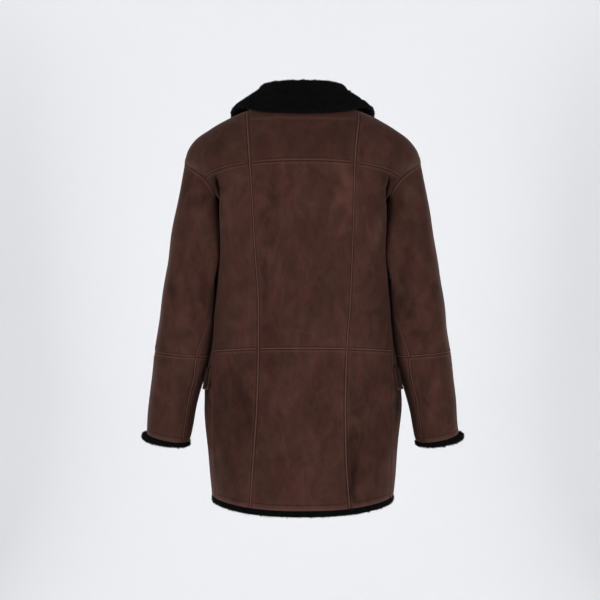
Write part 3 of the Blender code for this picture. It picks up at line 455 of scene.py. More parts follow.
# Soft creases: distance from the centre line, height, length, width, degrees that they lean from upright,
# and depth. The sleeves' are the left one's, and the right one mirrors them.
CREASES = {
    "back": (
        (0.05, -0.19, 0.11, 0.012, -28.0, 0.0016), (-0.062, -0.215, 0.13, 0.014, 24.0, 0.0014),
        (0.128, -0.3, 0.15, 0.016, 12.0, 0.0018), (-0.135, -0.285, 0.14, 0.015, -14.0, 0.0016),
        (0.04, -0.42, 0.12, 0.018, 65.0, 0.0012), (-0.03, -0.47, 0.14, 0.016, -70.0, 0.0013),
        (0.15, -0.44, 0.1, 0.013, 38.0, 0.0016), (-0.152, -0.455, 0.11, 0.014, -34.0, 0.0017),
        (0.055, -0.64, 0.22, 0.02, 6.0, 0.0022), (-0.04, -0.7, 0.2, 0.022, -5.0, 0.002),
        (0.15, -0.69, 0.19, 0.018, 10.0, 0.0022), (-0.148, -0.67, 0.21, 0.019, -9.0, 0.0024),
        (0.002, -0.59, 0.16, 0.016, 3.0, 0.0012),
    ),
    "front": (
        (0.12, -0.26, 0.15, 0.015, 16.0, 0.0018), (-0.115, -0.28, 0.14, 0.014, -18.0, 0.0016),
        (0.06, -0.43, 0.13, 0.016, 60.0, 0.0013), (-0.08, -0.46, 0.13, 0.016, -62.0, 0.0014),
        (0.1, -0.7, 0.2, 0.02, 8.0, 0.0022), (-0.095, -0.69, 0.21, 0.021, -7.0, 0.0021),
    ),
    "sleeve": (
        (0.232, -0.206, 0.085, 0.007, 68.0, 0.0022), (0.262, -0.289, 0.06, 0.006, 84.0, 0.0013),
        (0.246, -0.345, 0.1, 0.007, -32.0, 0.0015), (0.214, -0.436, 0.11, 0.01, 18.0, 0.0018),
        (0.262, -0.476, 0.11, 0.009, 86.0, 0.0017), (0.284, -0.532, 0.08, 0.008, 74.0, 0.0016),
        (0.252, -0.575, 0.07, 0.008, 52.0, 0.0014), (0.284, -0.632, 0.12, 0.012, -12.0, 0.0014),
    ),
}
# Patches of painted shade and light, and of mottled nap: painted shadow in the recess beside each armhole
# and on the sides beside the pocket flaps and under the arms, painted shade on the yoke and on the sleeves'
# inner sides, painted light on the sleeve tops below the armhole seam, and mottled nap in the others. Their
# columns: distance from the centre line, height, half width, half height, and how much lighter or darker.
# The sleeves mirror each other here too.
PATCHES = {
    "back": (
        # first row: painted shade on the yoke
        (0.005, -0.08, 0.095, 0.04, -0.14), (0.14, -0.3, 0.045, 0.15, 0.14),
        (-0.14, -0.3, 0.045, 0.15, 0.1), (-0.07, -0.058, 0.022, 0.024, -0.14),
        (0.189, -0.08, 0.018, 0.024, -0.1), (-0.15, -0.088, 0.03, 0.02, 0.06),
        # painted shadow in the recess beside each armhole's fold
        (0.181, -0.162, 0.015, 0.026, -0.36), (-0.181, -0.162, 0.015, 0.026, -0.36),
        (0.066, -0.225, 0.016, 0.07, -0.28), (0.078, -0.35, 0.008, 0.08, -0.3),
        (0.122, -0.265, 0.018, 0.032, -0.2), (0.066, -0.54, 0.02, 0.032, -0.2),
        (0.124, -0.632, 0.022, 0.055, -0.28), (0.034, -0.73, 0.03, 0.018, -0.22),
        (-0.103, -0.745, 0.012, 0.065, -0.36), (-0.102, -0.597, 0.01, 0.075, -0.16),
        (0.15, -0.67, 0.05, 0.15, -0.2), (-0.145, -0.67, 0.05, 0.15, -0.16),
        (-0.085, -0.182, 0.018, 0.062, 0.58), (-0.153, -0.262, 0.014, 0.036, 0.38),
        (0.158, -0.22, 0.012, 0.05, 0.34), (-0.046, -0.497, 0.045, 0.02, 0.14),
        (0.128, -0.484, 0.022, 0.018, 0.14), (0.038, -0.59, 0.036, 0.04, 0.12),
        (-0.025, -0.702, 0.036, 0.036, 0.12),
    ),
    "front": (
        (0.07, -0.42, 0.02, 0.07, -0.24), (-0.11, -0.25, 0.024, 0.06, -0.2),
        # rows at ±0.206 and ±0.197: painted shadow of the pocket flaps and arms on the sides
        (0.14, -0.65, 0.04, 0.11, -0.18), (0.206, -0.604, 0.02, 0.05, -0.8),
        (-0.206, -0.604, 0.02, 0.05, -0.8), (0.197, -0.568, 0.007, 0.026, -0.5),
        (-0.197, -0.568, 0.007, 0.026, -0.5), (0.201, -0.765, 0.01, 0.06, -0.28),
        (-0.201, -0.765, 0.01, 0.06, -0.28), (-0.09, -0.7, 0.024, 0.07, -0.26),
        (0.1, -0.23, 0.016, 0.06, 0.26), (-0.06, -0.52, 0.03, 0.04, 0.16),
    ),
    "sleeve": (
        # first row: painted shade on the sleeve beside the body's fold
        (0.203, -0.198, 0.016, 0.024, -0.2), (0.235, -0.176, 0.009, 0.012, 0.28),
        # first row: painted light on the sleeve's top below the armhole seam
        (0.222, -0.118, 0.034, 0.022, 0.14), (0.217, -0.187, 0.006, 0.018, 0.2),
        (0.223, -0.226, 0.022, 0.011, 0.24), (0.221, -0.312, 0.009, 0.03, -0.22),
        (0.242, -0.323, 0.006, 0.024, 0.2), (0.271, -0.33, 0.009, 0.032, 0.24),
        # second row: painted shade on the sleeve's inner side beside the body
        (0.275, -0.373, 0.009, 0.014, -0.36), (0.203, -0.404, 0.013, 0.045, -0.34),
        (0.226, -0.42, 0.01, 0.024, -0.24), (0.254, -0.42, 0.014, 0.03, 0.18),
        (0.244, -0.479, 0.013, 0.013, -0.22), (0.275, -0.611, 0.008, 0.054, 0.18),
        (0.256, -0.611, 0.006, 0.046, -0.16),
    ),
}
CREASE_SWAY, CREASE_WAVES, CREASE_SHIFT, CREASE_END = 0.5, 2.1, 40, 1.15
PATCH_WANDER, PATCH_WANDER_SIZES = 0.35, (0.040, 0.055)
FACING_FADE, FRONT_WRAP = 2.5, 2.0  # a side's creases and patches end past it, but the front's patches run on


def crease_depth(points, facing, kind):
    """How deep the creases are at points: for each, a trough whose section is a bell over its width and
    which fades out along its length, wandering a little to either side."""
    depth = 0.0
    for x, z, length, width, lean, deep in CREASES[kind]:
        slant = math.radians(lean)
        right, up = points[..., 0] - x, points[..., 2] - z
        along = (up * math.cos(slant) + right * math.sin(slant)) / (length / 2)
        across = right * math.cos(slant) - up * math.sin(slant)
        across = across + width * CREASE_SWAY * np.sin(along * CREASE_WAVES + z * CREASE_SHIFT)
        depth = depth + deep * np.exp(-((across / width) ** 2)) * eased(CREASE_END - np.abs(along))
    return depth * eased(facing * FACING_FADE)


def nap_and_painted_shade(points, facing, kind):
    """How much lighter or darker the suede is painted at points, with painted shade and light in some patches
    and mottled nap in the others: for each patch a bell whose outline wanders.
    """
    shade = 0.0
    small, large = PATCH_WANDER_SIZES
    for k, (x, z, wide, high, amount) in enumerate(PATCHES[kind]):
        over = (points[..., 0] - x) / wide + PATCH_WANDER * ripple(points, small, 60 + k)
        up = (points[..., 2] - z) / high + PATCH_WANDER * ripple(points, large, 90 + k)
        shade = shade + amount * np.exp(-(over**2 + up**2) ** 1.5)
    return shade * eased(facing * FACING_FADE + FRONT_WRAP * (kind == "front"))


def corners(grid):
    """The four corners of each cell of a grid, in order round it."""
    return grid[:-1, :-1], grid[1:, :-1], grid[1:, 1:], grid[:-1, 1:]


CLOTH_CRISP, BUTTON_CRISP = 50, 60  # degrees between two faces, from which their edge is shaded as an edge


def make(name, points, faces, materials, values=(), sharp=None):
    """A smooth object with those materials and values at its points, crisp at edges of more than sharp
    degrees."""
    mesh = bpy.data.meshes.new(name)
    mesh.from_pydata(points, [], faces)
    for label, spread in dict(values).items():
        attribute = mesh.attributes.new(label, "FLOAT", "POINT")
        attribute.data.foreach_set("value", spread.astype(np.float32))
    mesh.shade_smooth()
    if sharp:
        mesh.set_sharp_from_angle(angle=math.radians(sharp))
    for material in materials:
        mesh.materials.append(material)
    piece = bpy.data.objects.new(name, mesh)
    bpy.context.scene.collection.objects.link(piece)
    return piece


def shell(name, outer, inner, materials, values=(), closed=False):
    """A cloth wall between two grids of points: two faces, with rims between their borders, or round the
    two ends where the grid closes on itself. The outer face has the first material and the rest the
    second."""
    total = outer[..., 0].size
    index = np.arange(total).reshape(outer.shape[:2])
    if closed:
        index = np.concatenate([index, index[:, :1]], axis=1)
        loops = [index[0], index[-1, ::-1]]
    else:
        loops = [np.concatenate([index[0], index[1:, -1], index[-1, -2::-1], index[-2::-1, 0]])]
    front = np.stack(corners(index), axis=-1).reshape(-1, 4)
    rims = [np.stack([loop[:-1], loop[1:], loop[1:] + total, loop[:-1] + total], axis=-1) for loop in loops]
    faces = np.concatenate([front, front[:, ::-1] + total, *rims])
    points = np.concatenate([outer.reshape(-1, 3), inner.reshape(-1, 3)])
    middle = front[len(front) // 2]
    a, b, c, d = points[middle]
    if np.cross(c - a, d - b) @ (a - points[middle[0] + total]) < 0:
        faces = faces[:, ::-1]
    values = {
        label: np.append(np.broadcast_to(spread, outer.shape[:2]), np.zeros(total))
        for label, spread in dict(values).items()
    }
    piece = make(name, points, faces, materials, values, sharp=CLOTH_CRISP)
    piece.data.polygons.foreach_set("material_index", (np.arange(len(faces)) >= len(front)).astype(np.int32))
    return piece


def draw_back(points):
    """Draws a grid's four borders back from their seams."""
    points = points.copy()
    for edge, inner in ((0, 1), (-1, -2)):
        points[edge] += unit(points[inner] - points[edge]) * EDGE_PULL
        points[:, edge] += unit(points[:, inner] - points[:, edge]) * EDGE_PULL
    return points


def cut_size(grid):
    """(flat width and length, area) of a sheet: its longest row and column, and the sum of its cells."""
    across, down = np.diff(grid, axis=1)[:-1], np.diff(grid, axis=0)[:, :-1]
    area = float(np.linalg.norm(np.cross(across, down), axis=2).sum())
    return (line_lengths(grid, 1).max(), line_lengths(grid, 0).max()), area


def sew_on(piece, node, slot, held, rests_on, flat, area=None, with_pieces=()):
    """Makes a piece of cloth part of the coat, in its node's place."""
    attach(piece, "root")
    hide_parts(node)


CALM = 0.4  # how much less mottled the middle of the yoke is
RUN_ON = ("left", "right", "top", "bottom")  # the order in which a panel's seams run on
stitch_lines = []  # (points, normals) of each run of topstitching


def cut_panel(node, edges, roles, form, side, kind, rests_on, order=RUN_ON, recess=None):
    """One cut piece of suede, made on the form and turned to its side: its relief is the edges' profiles,
    the creases, a slow rolling and small puckers beside the seams. Topstitching follows its lapped edges
    and hems."""
    edges = {name: by_length(points, form) for name, points in edges.items()}
    grid, away = panel_grid(edges, roles, form)
    base, normal = form(grid[..., 0], grid[..., 1]), outward(form, grid[..., 0], grid[..., 1])
    normal = share_normals(base, normal, from_sleeve=form is sleeve)
    if recess is not None:
        base = base - normal * recess(base[..., 0])[..., None]
    base = base - normal * armhole_sink(base)[..., None]
    base, normal = base * mirrored(side), normal * mirrored(side)
    lift, ridge, groove, near = edge_relief(away, roles, order, base[..., 2])
    beside = faded(near, *PUCKER_STARTS) * (1 - faded(near, *PUCKER_ENDS))
    clear = faded(near, *CLEAR_OF_SEAM)
    facing = {"back": normal[..., 1], "front": -normal[..., 1], "sleeve": np.abs(normal[..., 1])}[kind]
    place = base * mirrored(side) if kind == "sleeve" else base
    lift = lift + PUCKER * ripple(base, PUCKER_SIZE, 5) * beside
    lift = lift + ROLLING * ripple(base, ROLLING_SIZE, 7) * clear
    lift = lift - crease_depth(place, facing, kind) * clear
    outer, inner = draw_back(base + normal * lift[..., None]), draw_back(base - normal * SKIN)
    # the ridges' rubbed nap and painted highlight, the channels' painted shade, and the patches' painted
    # shade and light with mottled nap
    values = {"ridge": ridge, "groove": groove, "shade": nap_and_painted_shade(place, facing, kind)}
    values["calm"] = CALM if node == "yoke_centre" else 0.0
    piece = shell(node + "_skin", outer, inner, CLOTH, values)
    for edge, role in roles.items():
        for way, share in role_share(role, base[..., 2]):
            if way in STITCH_LINE:
                k = STITCH_LINE[way] if edge in ("left", "top") else -1 - STITCH_LINE[way]
                line = np.s_[k] if edge in ("top", "bottom") else np.s_[:, k]
                sewn = np.broadcast_to(share, base.shape[:2])[line] > 0.5
                stitch_lines.append((outer[line][sewn], normal[line][sewn]))
    sew_on(piece, node, "suede", "hung", rests_on, *cut_size(base))


def add_node(tree, kind, inputs=(), **settings):
    """The outputs of a new shader node with its settings. Each input is a value or another node's
    output."""
    made = tree.nodes.new("ShaderNode" + kind)
    for name, value in settings.items():
        setattr(made, name, value)
    for key, value in dict(inputs).items():
        if isinstance(value, bpy.types.NodeSocket):
            tree.links.new(value, made.inputs[key])
        else:
            made.inputs[key].default_value = value
    return made.outputs


def reckon(tree, how, first, second=0.0, third=0.0, clamp=False):
    """One sum of the shader, named as its Math node names it."""
    return add_node(tree, "Math", {0: first, 1: second, 2: third}, operation=how, use_clamp=clamp)[0]


def blend(tree, share, first, second):
    """Two colours mixed by a share."""
    first, second = ((*colour, 1.0) if isinstance(colour, tuple) else colour for colour in (first, second))
    return add_node(tree, "Mix", {0: share, 6: first, 7: second}, data_type="RGBA")[2]


def attribute(tree, label):
    """The shader's reading of a value kept at the points."""
    return add_node(tree, "Attribute", attribute_name=label)["Fac"]


def node_group(name, inputs, outputs):
    """A shader node group with named number outputs and inputs, each with its first value or, for a
    place, None."""
    tree = bpy.data.node_groups.new(name, "ShaderNodeTree")
    for label, value in inputs.items():
        socket = "NodeSocketVector" if value is None else "NodeSocketFloat"
        made = tree.interface.new_socket(label, in_out="INPUT", socket_type=socket)
        if value is not None:
            made.default_value = value
    for label in outputs:
        tree.interface.new_socket(label, in_out="OUTPUT", socket_type="NodeSocketFloat")
    return tree, tree.nodes.new("NodeGroupInput").outputs, tree.nodes.new("NodeGroupOutput").inputs


def clouds_group():
    """Soft patches: noise of about Size metres, whose coordinates are drawn out by Swirl, spread about
    its middle by Contrast and held between 0 and 1."""
    inputs = {"Coordinates": None, "Size": 0.03, "Contrast": 2.0, "Swirl": 0.0}
    tree, given, made = node_group("Clouds", inputs, ["Mask"])
    scale = reckon(tree, "DIVIDE", 1.0, given["Size"])
    values = {"Vector": given["Coordinates"], "Scale": scale, "Detail": 2.0, "Distortion": given["Swirl"]}
    centred = reckon(tree, "SUBTRACT", add_node(tree, "TexNoise", values)["Fac"], 0.5)
    spread = reckon(tree, "MULTIPLY", centred, given["Contrast"])
    tree.links.new(reckon(tree, "ADD", spread, 0.5, clamp=True), made["Mask"])
    return tree


def grain_group():
    """Nap or curl: fine noise of about Size metres, whose coordinates are pushed about by Curl times a
    slower noise. Height is the fibres' relief, and Shade mixes it with still finer noise."""
    inputs = {"Coordinates": None, "Size": 0.001, "Curl": 1.0}
    tree, given, made = node_group("Grain", inputs, ["Height", "Shade"])
    at, scale = given["Coordinates"], reckon(tree, "DIVIDE", 1.0, given["Size"])
    slow = reckon(tree, "DIVIDE", 0.2, given["Size"])
    drift = add_node(tree, "TexNoise", {"Vector": at, "Scale": slow, "Detail": 1.0})["Color"]
    middle = add_node(tree, "VectorMath", {0: drift, 1: (0.5, 0.5, 0.5)}, operation="SUBTRACT")[0]
    reach = reckon(tree, "MULTIPLY", given["Curl"], reckon(tree, "MULTIPLY", given["Size"], 6.0))
    push = add_node(tree, "VectorMath", {0: middle, "Scale": reach}, operation="SCALE")[0]
    pushed = add_node(tree, "VectorMath", {0: at, 1: push}, operation="ADD")[0]
    fibres = add_node(tree, "TexNoise", {"Vector": pushed, "Scale": scale, "Detail": 2.0})["Fac"]
    finer = reckon(tree, "MULTIPLY", scale, 2.7)
    specks = add_node(tree, "TexNoise", {"Vector": pushed, "Scale": finer, "Detail": 1.0})["Fac"]
    tree.links.new(fibres, made["Height"])
    shade = reckon(tree, "MULTIPLY_ADD", specks, 0.4, reckon(tree, "MULTIPLY", fibres, 0.6))
    tree.links.new(shade, made["Shade"])
    return tree


CLOUDS, GRAIN = clouds_group(), grain_group()


def use(tree, group, **inputs):
    """The outputs of a shared node group."""
    return add_node(tree, "Group", inputs, node_tree=group)


def finish(name, roughness, **constants):
    """A new material, its node tree and its Principled shader with those constant values."""
    material = bpy.data.materials.new(name)
    material.use_nodes = True
    shader = material.node_tree.nodes["Principled BSDF"]
    for label, value in {"Roughness": roughness, **constants}.items():
        shader.inputs[label.replace("_", " ")].default_value = value
    return material, material.node_tree, shader


def connect(shader, **outputs):
    """Feeds a shader's named inputs from other nodes' outputs."""
    for label, output in outputs.items():
        shader.id_data.links.new(output, shader.inputs[label.replace("_", " ")])


def bump(tree, strength, distance, height):
    """The shading normal that a height of 0 to 1 gives, so many metres deep."""
    return add_node(tree, "Bump", {"Strength": strength, "Distance": distance, "Height": height})["Normal"]


SUEDE_RED, SUEDE_OLIVE = (0.0353, 0.0135, 0.0105), (0.0326, 0.0151, 0.0107)
# the seams' ridges: rubbed nap with a painted highlight; their channels: painted shade
SUEDE_RUBBED_AND_HIGHLIT, SUEDE_CHANNEL_SHADE = (0.0770, 0.0370, 0.0290), (0.0120, 0.0040, 0.0034)
SUEDE_SHEEN = (0.75, 0.5, 0.42, 1.0)
SUEDE_PATCHES = (  # size in metres, contrast, swirl, how much lighter or darker
    (0.11, 3.0, 1.5, 0.1), (0.042, 3.8, 1.3, 0.12), (0.015, 3.4, 1.0, 0.09),
)
SUEDE_DRAWN = 0.55  # the patches are drawn out upright


def suede():
    """Brown suede: two close browns in broad patches, its nap brushed lighter and darker in clouds of
    three sizes and in the grain, lighter on the ridges of seams with rubbed nap and a painted highlight,
    darker in their channels with painted shade, and lighter or darker by the shade kept at the points:
    painted shade and light in some patches, mottled nap in the others."""
    material, tree, shader = finish(
        "suede", 0.95, Specular_IOR_Level=0.04, Sheen_Weight=0.10, Sheen_Roughness=0.4, Sheen_Tint=SUEDE_SHEEN
    )
    at = add_node(tree, "TexCoord")["Object"]
    drawn = add_node(tree, "Mapping", {"Vector": at, "Scale": (1.0, 1.0, SUEDE_DRAWN)})[0]

    def clouds(size, contrast, swirl, shift):
        offset = (shift, 0.3 * shift, 0.7 * shift)
        moved = add_node(tree, "VectorMath", {0: drawn, 1: offset}, operation="ADD")[0]
        return use(tree, CLOUDS, Coordinates=moved, Size=size, Contrast=contrast, Swirl=swirl)["Mask"]

    nap = use(tree, GRAIN, Coordinates=at, Size=0.0016, Curl=0.6)
    light = reckon(tree, "MULTIPLY_ADD", nap["Shade"], 0.9, 0.55)
    for k, (size, contrast, swirl, amount) in enumerate(SUEDE_PATCHES):
        patch = reckon(tree, "MULTIPLY_ADD", clouds(size, contrast, swirl, k + 0.5), 2 * amount, 1 - amount)
        light = reckon(tree, "MULTIPLY", light, patch)
    even = reckon(tree, "SUBTRACT", 1.0, attribute(tree, "calm"))
    light = reckon(tree, "MULTIPLY_ADD", reckon(tree, "SUBTRACT", light, 1.0), even, 1.0)
    # the shade kept at the points adds painted shade and light in some patches, and mottled nap in the others
    light = reckon(tree, "ADD", light, attribute(tree, "shade"))
    colour = blend(tree, clouds(0.030, 3.5, 1.5, 4.0), SUEDE_RED, SUEDE_OLIVE)
    shaded = add_node(tree, "VectorMath", {0: colour, "Scale": light}, operation="SCALE")[0]
    # ridges of seams lighter with rubbed nap and a painted highlight, their channels darker with painted
    # shade
    worn_and_highlit = blend(tree, reckon(tree, "MULTIPLY", attribute(tree, "ridge"), 0.8), shaded, SUEDE_RUBBED_AND_HIGHLIT)
    colour = blend(tree, reckon(tree, "MULTIPLY", attribute(tree, "groove"), 0.55), worn_and_highlit, SUEDE_CHANNEL_SHADE)
    connect(shader, Base_Color=colour, Normal=bump(tree, 0.35, 0.0005, nap["Height"]))
    return material


FLEECE_PLAIN, FLEECE_DEEP = (0.0025, 0.0025, 0.0026), (0.0011, 0.0011, 0.0012)
FLEECE_TIP_HIGHLIGHT = (0.0080, 0.0077, 0.0077)


def fleece():
    """Black sheared wool: curls a few millimetres across, deep black between them, and a painted
    highlight that makes the tips of the tufts that stand up from it a little lighter."""
    material, tree, shader = finish(
        "fleece", 0.95, Specular_IOR_Level=0.03, Sheen_Weight=0.015, Sheen_Roughness=0.5
    )
    at =add_node(tree, "TexCoord")["Object"]
    curls = use(tree, GRAIN, Coordinates=at, Size=0.0035, Curl=1.5)
    colour = blend(tree, curls["Shade"], FLEECE_DEEP, FLEECE_PLAIN)
    lumps = use(tree, CLOUDS, Coordinates=at, Size=0.009, Contrast=2.5)["Mask"]
    # painted highlight on the tufts' tips, in lumps
    lit = reckon(tree, "MULTIPLY", attribute(tree, "tip"), reckon(tree, "MULTIPLY_ADD", lumps, 0.8, 0.2))
    lit_colour = blend(tree, lit, colour, FLEECE_TIP_HIGHLIGHT)
    connect(shader, Base_Color=lit_colour, Normal=bump(tree, 0.8, 0.0015, curls["Height"]))
    return material


SUEDE, FLEECE = suede(), fleece()
CLOTH = (SUEDE, FLEECE)

NECK_SIDE_TURN = math.radians(105)
PRINCESS_LAST, SIDE_LAST = -0.020, -0.560  # the tables' last rows: above them a seam swings to its end
PRINCESS_SEAM = curves(
    "height left right",
    (-0.86, 0.1105, 0.099), (-0.82, 0.1088, 0.0965), (-0.709, 0.1016, 0.0896), (-0.617, 0.0958, 0.0888),
    (-0.505, 0.0928, 0.0922), (-0.402, 0.0926, 0.099), (-0.322, 0.0977, 0.102), (-0.203, 0.1047, 0.106),
    (-0.12, 0.1106, 0.1085), (-0.02, 0.1185, 0.119),
)
SIDE_SEAM = curves(
    "height distance",
    (-0.86, 0.18), (-0.75, 0.186), (-0.65, 0.1885), (-0.56, 0.189),
)
PRINCESS_BEND, SIDE_BEND = 1.4, 1.0
HEM_SIDE, HEM_BACK_DROP, HEM_FRONT_DROP = -0.815, 0.0170, 0.006
WAIST_SIDE, WAIST_BACK_RISE = -0.511, 0.009
YOKE_CENTRE, YOKE_BEND = -0.116, 1.9
SEAM_POINTS, CROSSING_ROUNDS = 240, 30


def hem_height(turn):
    """The hem drops a little towards centre back and centre front, by the squared cosine of the turn."""
    back, front = np.clip(np.cos(turn), 0, 1) ** 2, np.clip(-np.cos(turn), 0, 1) ** 2
    return HEM_SIDE - HEM_BACK_DROP * back - HEM_FRONT_DROP * front


def waist_height(turn):
    """The waist seam is level in front and rises to the middle of the back by the squared cosine of the
    turn."""
    return WAIST_SIDE + WAIST_BACK_RISE * np.clip(np.cos(turn), 0, 1) ** 2


def yoke_height(turn):
    """The yoke's seam runs from its centre height to its place on the armhole, by a power of the sine of
    the turn."""
    end_turn, end_height, _ = armhole(YOKE_SEAM_AT)
    return YOKE_CENTRE + (end_height - YOKE_CENTRE) * (np.abs(np.sin(turn)) / math.sin(end_turn)) ** YOKE_BEND


def neck_height(turn):
    """The neckline rises from the back to the neck's sides by the squared sine of the turn."""
    return NECK_BACK + NECK_SIDE_RISE * np.sin(turn) ** 2


def table_seam(height, distance, last, end_turn, end_height, bend):
    """Turn of an upright seam: a table's distance up to its last row, then an even swing to the seam's
    end."""
    capped = np.minimum(height, last)
    low = turn_at(distance(capped), capped)
    rise = np.clip((np.asarray(height, float) - last) / (end_height - last), 0, 1)
    return low + (end_turn - low) * rise**bend


NECK_SIDE_HEIGHT = float(neck_height(NECK_SIDE_TURN))
princess = {
    side: partial(
        table_seam, distance=distance, last=PRINCESS_LAST,
        end_turn=NECK_SIDE_TURN, end_height=NECK_SIDE_HEIGHT, bend=PRINCESS_BEND,
    )
    for side, distance in PRINCESS_SEAM.items()
}
underarm_turn, underarm_height, _ = armhole(UNDERARM_AT)
side_turn = partial(
    table_seam, distance=SIDE_SEAM["distance"], last=SIDE_LAST,
    end_turn=underarm_turn, end_height=underarm_height, bend=SIDE_BEND,
)


def upright(turn_of_height, top, bottom):
    """An upright seam from one height down to another, as (turn, height) points."""
    heights = np.linspace(top, bottom, SEAM_POINTS)
    return np.stack([turn_of_height(heights), heights], axis=1)


def level(height_of_turn, start, end):
    """A level seam from one turn to another, as (turn, height) points."""
    turns = np.linspace(start, end, SEAM_POINTS)
    return np.stack([turns, height_of_turn(turns)], axis=1)


def armhole_edge(start, end):
    """The armhole from one angle to another, as (turn, height) points."""
    return np.stack(armhole(np.linspace(start, end, SEAM_POINTS))[:2], axis=1)


def crossing(turn_of_height, height_of_turn, start):
    """Height at which an upright seam crosses a level one, by repeated substitution."""
    height = start
    for _ in range(CROSSING_ROUNDS):
        height = float(height_of_turn(turn_of_height(height)))
    return height


LEVEL_SEAMS = {"shoulder": neck_height, "yoke": yoke_height, "waist": waist_height, "hem": hem_height}
LEVEL_STARTS = {"yoke": YOKE_CENTRE, "waist": WAIST_SIDE, "hem": HEM_SIDE}
BACK_PARTS = {  # upper and lower seam, and the panel's role at each
    "yoke": ("shoulder", "yoke", "neck", "low"),
    "back_upper": ("yoke", "waist", "under", "over"),
    "back_lower": ("waist", "hem", "under", "hem"),
}

side_waist = crossing(side_turn, waist_height, WAIST_SIDE)
side_hem = crossing(side_turn, hem_height, HEM_SIDE)
side_seam = upright(side_turn, ARMHOLE_BOTTOM, side_waist)
outer_edges = {
    "yoke": armhole_edge(SHOULDER_SEAM_AT, YOKE_SEAM_AT),
    "back_upper": np.concatenate([armhole_edge(YOKE_SEAM_AT, UNDERARM_AT), side_seam[1:]]),
    "back_lower": upright(side_turn, side_waist, side_hem),
}
bends = {}  # heights at which each upright seam meets the level ones
for side, seam in princess.items():
    met = [crossing(seam, LEVEL_SEAMS[name], start) for name, start in LEVEL_STARTS.items()]
    bends[side] = [NECK_SIDE_HEIGHT, *met]

for k, (part, (*seams, top_role, bottom_role)) in enumerate(BACK_PARTS.items()):
    inner = {side: upright(seam, bends[side][k], bends[side][k + 1]) for side, seam in princess.items()}
    edges = {"left": inner["right"] * (-1, 1), "right": inner["left"]}
    for edge, seam, j in zip(("top", "bottom"), seams, (0, -1)):
        edges[edge] = level(LEVEL_SEAMS[seam], -inner["right"][j, 0], inner["left"][j, 0])
    roles = {"left": "over", "right": "over", "top": top_role, "bottom": bottom_role}
    cut_panel(part + "_centre", edges, roles, torso, "left", "back", [part + "_left", part + "_right"])
    roles = {
        "left": "flat",
        "right": "crest" if part == "back_upper" else "over",
        "top": "over" if part == "yoke" else top_role,
        "bottom": bottom_role,
    }
    for side in princess:
        edges = {"left": inner[side], "right": outer_edges[part]}
        for edge, seam, j in zip(("top", "bottom"), seams, (0, -1)):
            start, end = inner[side][j], outer_edges[part][j]
            straight = np.linspace(start, end, SEAM_POINTS)
            edges[edge] = straight if seam == "shoulder" else level(LEVEL_SEAMS[seam], start[0], end[0])
        cut_panel(f"{part}_{side}", edges, roles, torso, side, "back", [part + "_centre", "front_" + side])


# ---------------------------------------------------------------- the fronts
# One panel of suede each side, from the forward shoulder seam down. The wearer's right front laps over
# the left, and above the break each one folds back along the lapel.

FRONT_EDGE, BREAK_HEIGHT, ROLL_TOP = 0.030, -0.300, (0.066, -0.036)
LAP_RECESS, LAP_START, LAP_END = 0.0092, 0.062, 0.038


def roll_line(share):
    """(turn, height) along the front's neckline, from the neck's side (0) down the lapel's fold to the
    break (1)."""
    top = torso(NECK_SIDE_TURN, NECK_SIDE_HEIGHT)
    turns = np.array([top[[0, 2]], ROLL_TOP, (-FRONT_EDGE, BREAK_HEIGHT)])
    reach = run_length(turns)
    x, height = (smooth(reach, turns[:, k], share * reach[-1]) for k in (0, 1))
    return np.stack([turn_at(x, height, front=True), height], axis=-1)


def lap_recess(distance):
    """How far the lower front lies under the upper one, that far from the centre line."""
    return LAP_RECESS * eased((LAP_START - distance) / (LAP_START - LAP_END))


def front_edge_turn(height):
    """Turn of the front's free edge, which hangs straight down, as far past the centre as the fronts
    lap."""
    return turn_at(np.full_like(height, -FRONT_EDGE), height, front=True)


front_edge = upright(front_edge_turn, BREAK_HEIGHT, float(hem_height(math.pi)))
centre_edge = np.concatenate([roll_line(np.linspace(0, 1, SEAM_POINTS)), front_edge[1:]])
side_seam = upright(side_turn, ARMHOLE_BOTTOM, side_hem)
side_edge = np.concatenate([armhole_edge(360.0 + SHOULDER_SEAM_AT, UNDERARM_AT), side_seam[1:]])
edges = {
    "left": side_edge,
    "right": centre_edge,
    "top": np.linspace(side_edge[0], centre_edge[0], SEAM_POINTS),
    "bottom": level(hem_height, side_edge[-1, 0], centre_edge[-1, 0]),
}
FRONT_ROLES = {
    "left": ("over", "under", ARMHOLE_BOTTOM),
    "right": ("fold", "over", BREAK_HEIGHT),
    "top": "under",
    "bottom": "hem",
}
for side, recess in (("left", lap_recess), ("right", None)):
    neighbours = ["back_upper_" + side, "back_lower_" + side, "yoke_" + side]
    cut_panel("front_" + side, edges, FRONT_ROLES, torso, side, "front", neighbours, recess=recess)


# ---------------------------------------------------------------- the sleeves
# A broad top piece and a narrow under piece, each cut across at the elbow. The body's edge laps over the
# sleeve at the armhole, the top piece over the under piece, and the cuff is turned and topstitched.

ELBOW_SHARE = 0.68
HIND_SEAM = (
    (0.0, 166.0), (0.36, 158.0), (0.50, 140.0), (0.68, 119.0), (0.77, 126.0), (0.84, 130.5), (1.0, 138.0),
)
FORE_SEAM = ((0.0, 212.0), (0.68, 214.0), (1.0, 214.0))
SLEEVE_HALVES = {"upper": (0.0, ELBOW_SHARE, "cap", "over"), "lower": (ELBOW_SHARE, 1.0, "under", "hem")}
SLEEVE_RUN_ON = ("top", "left", "right", "bottom")

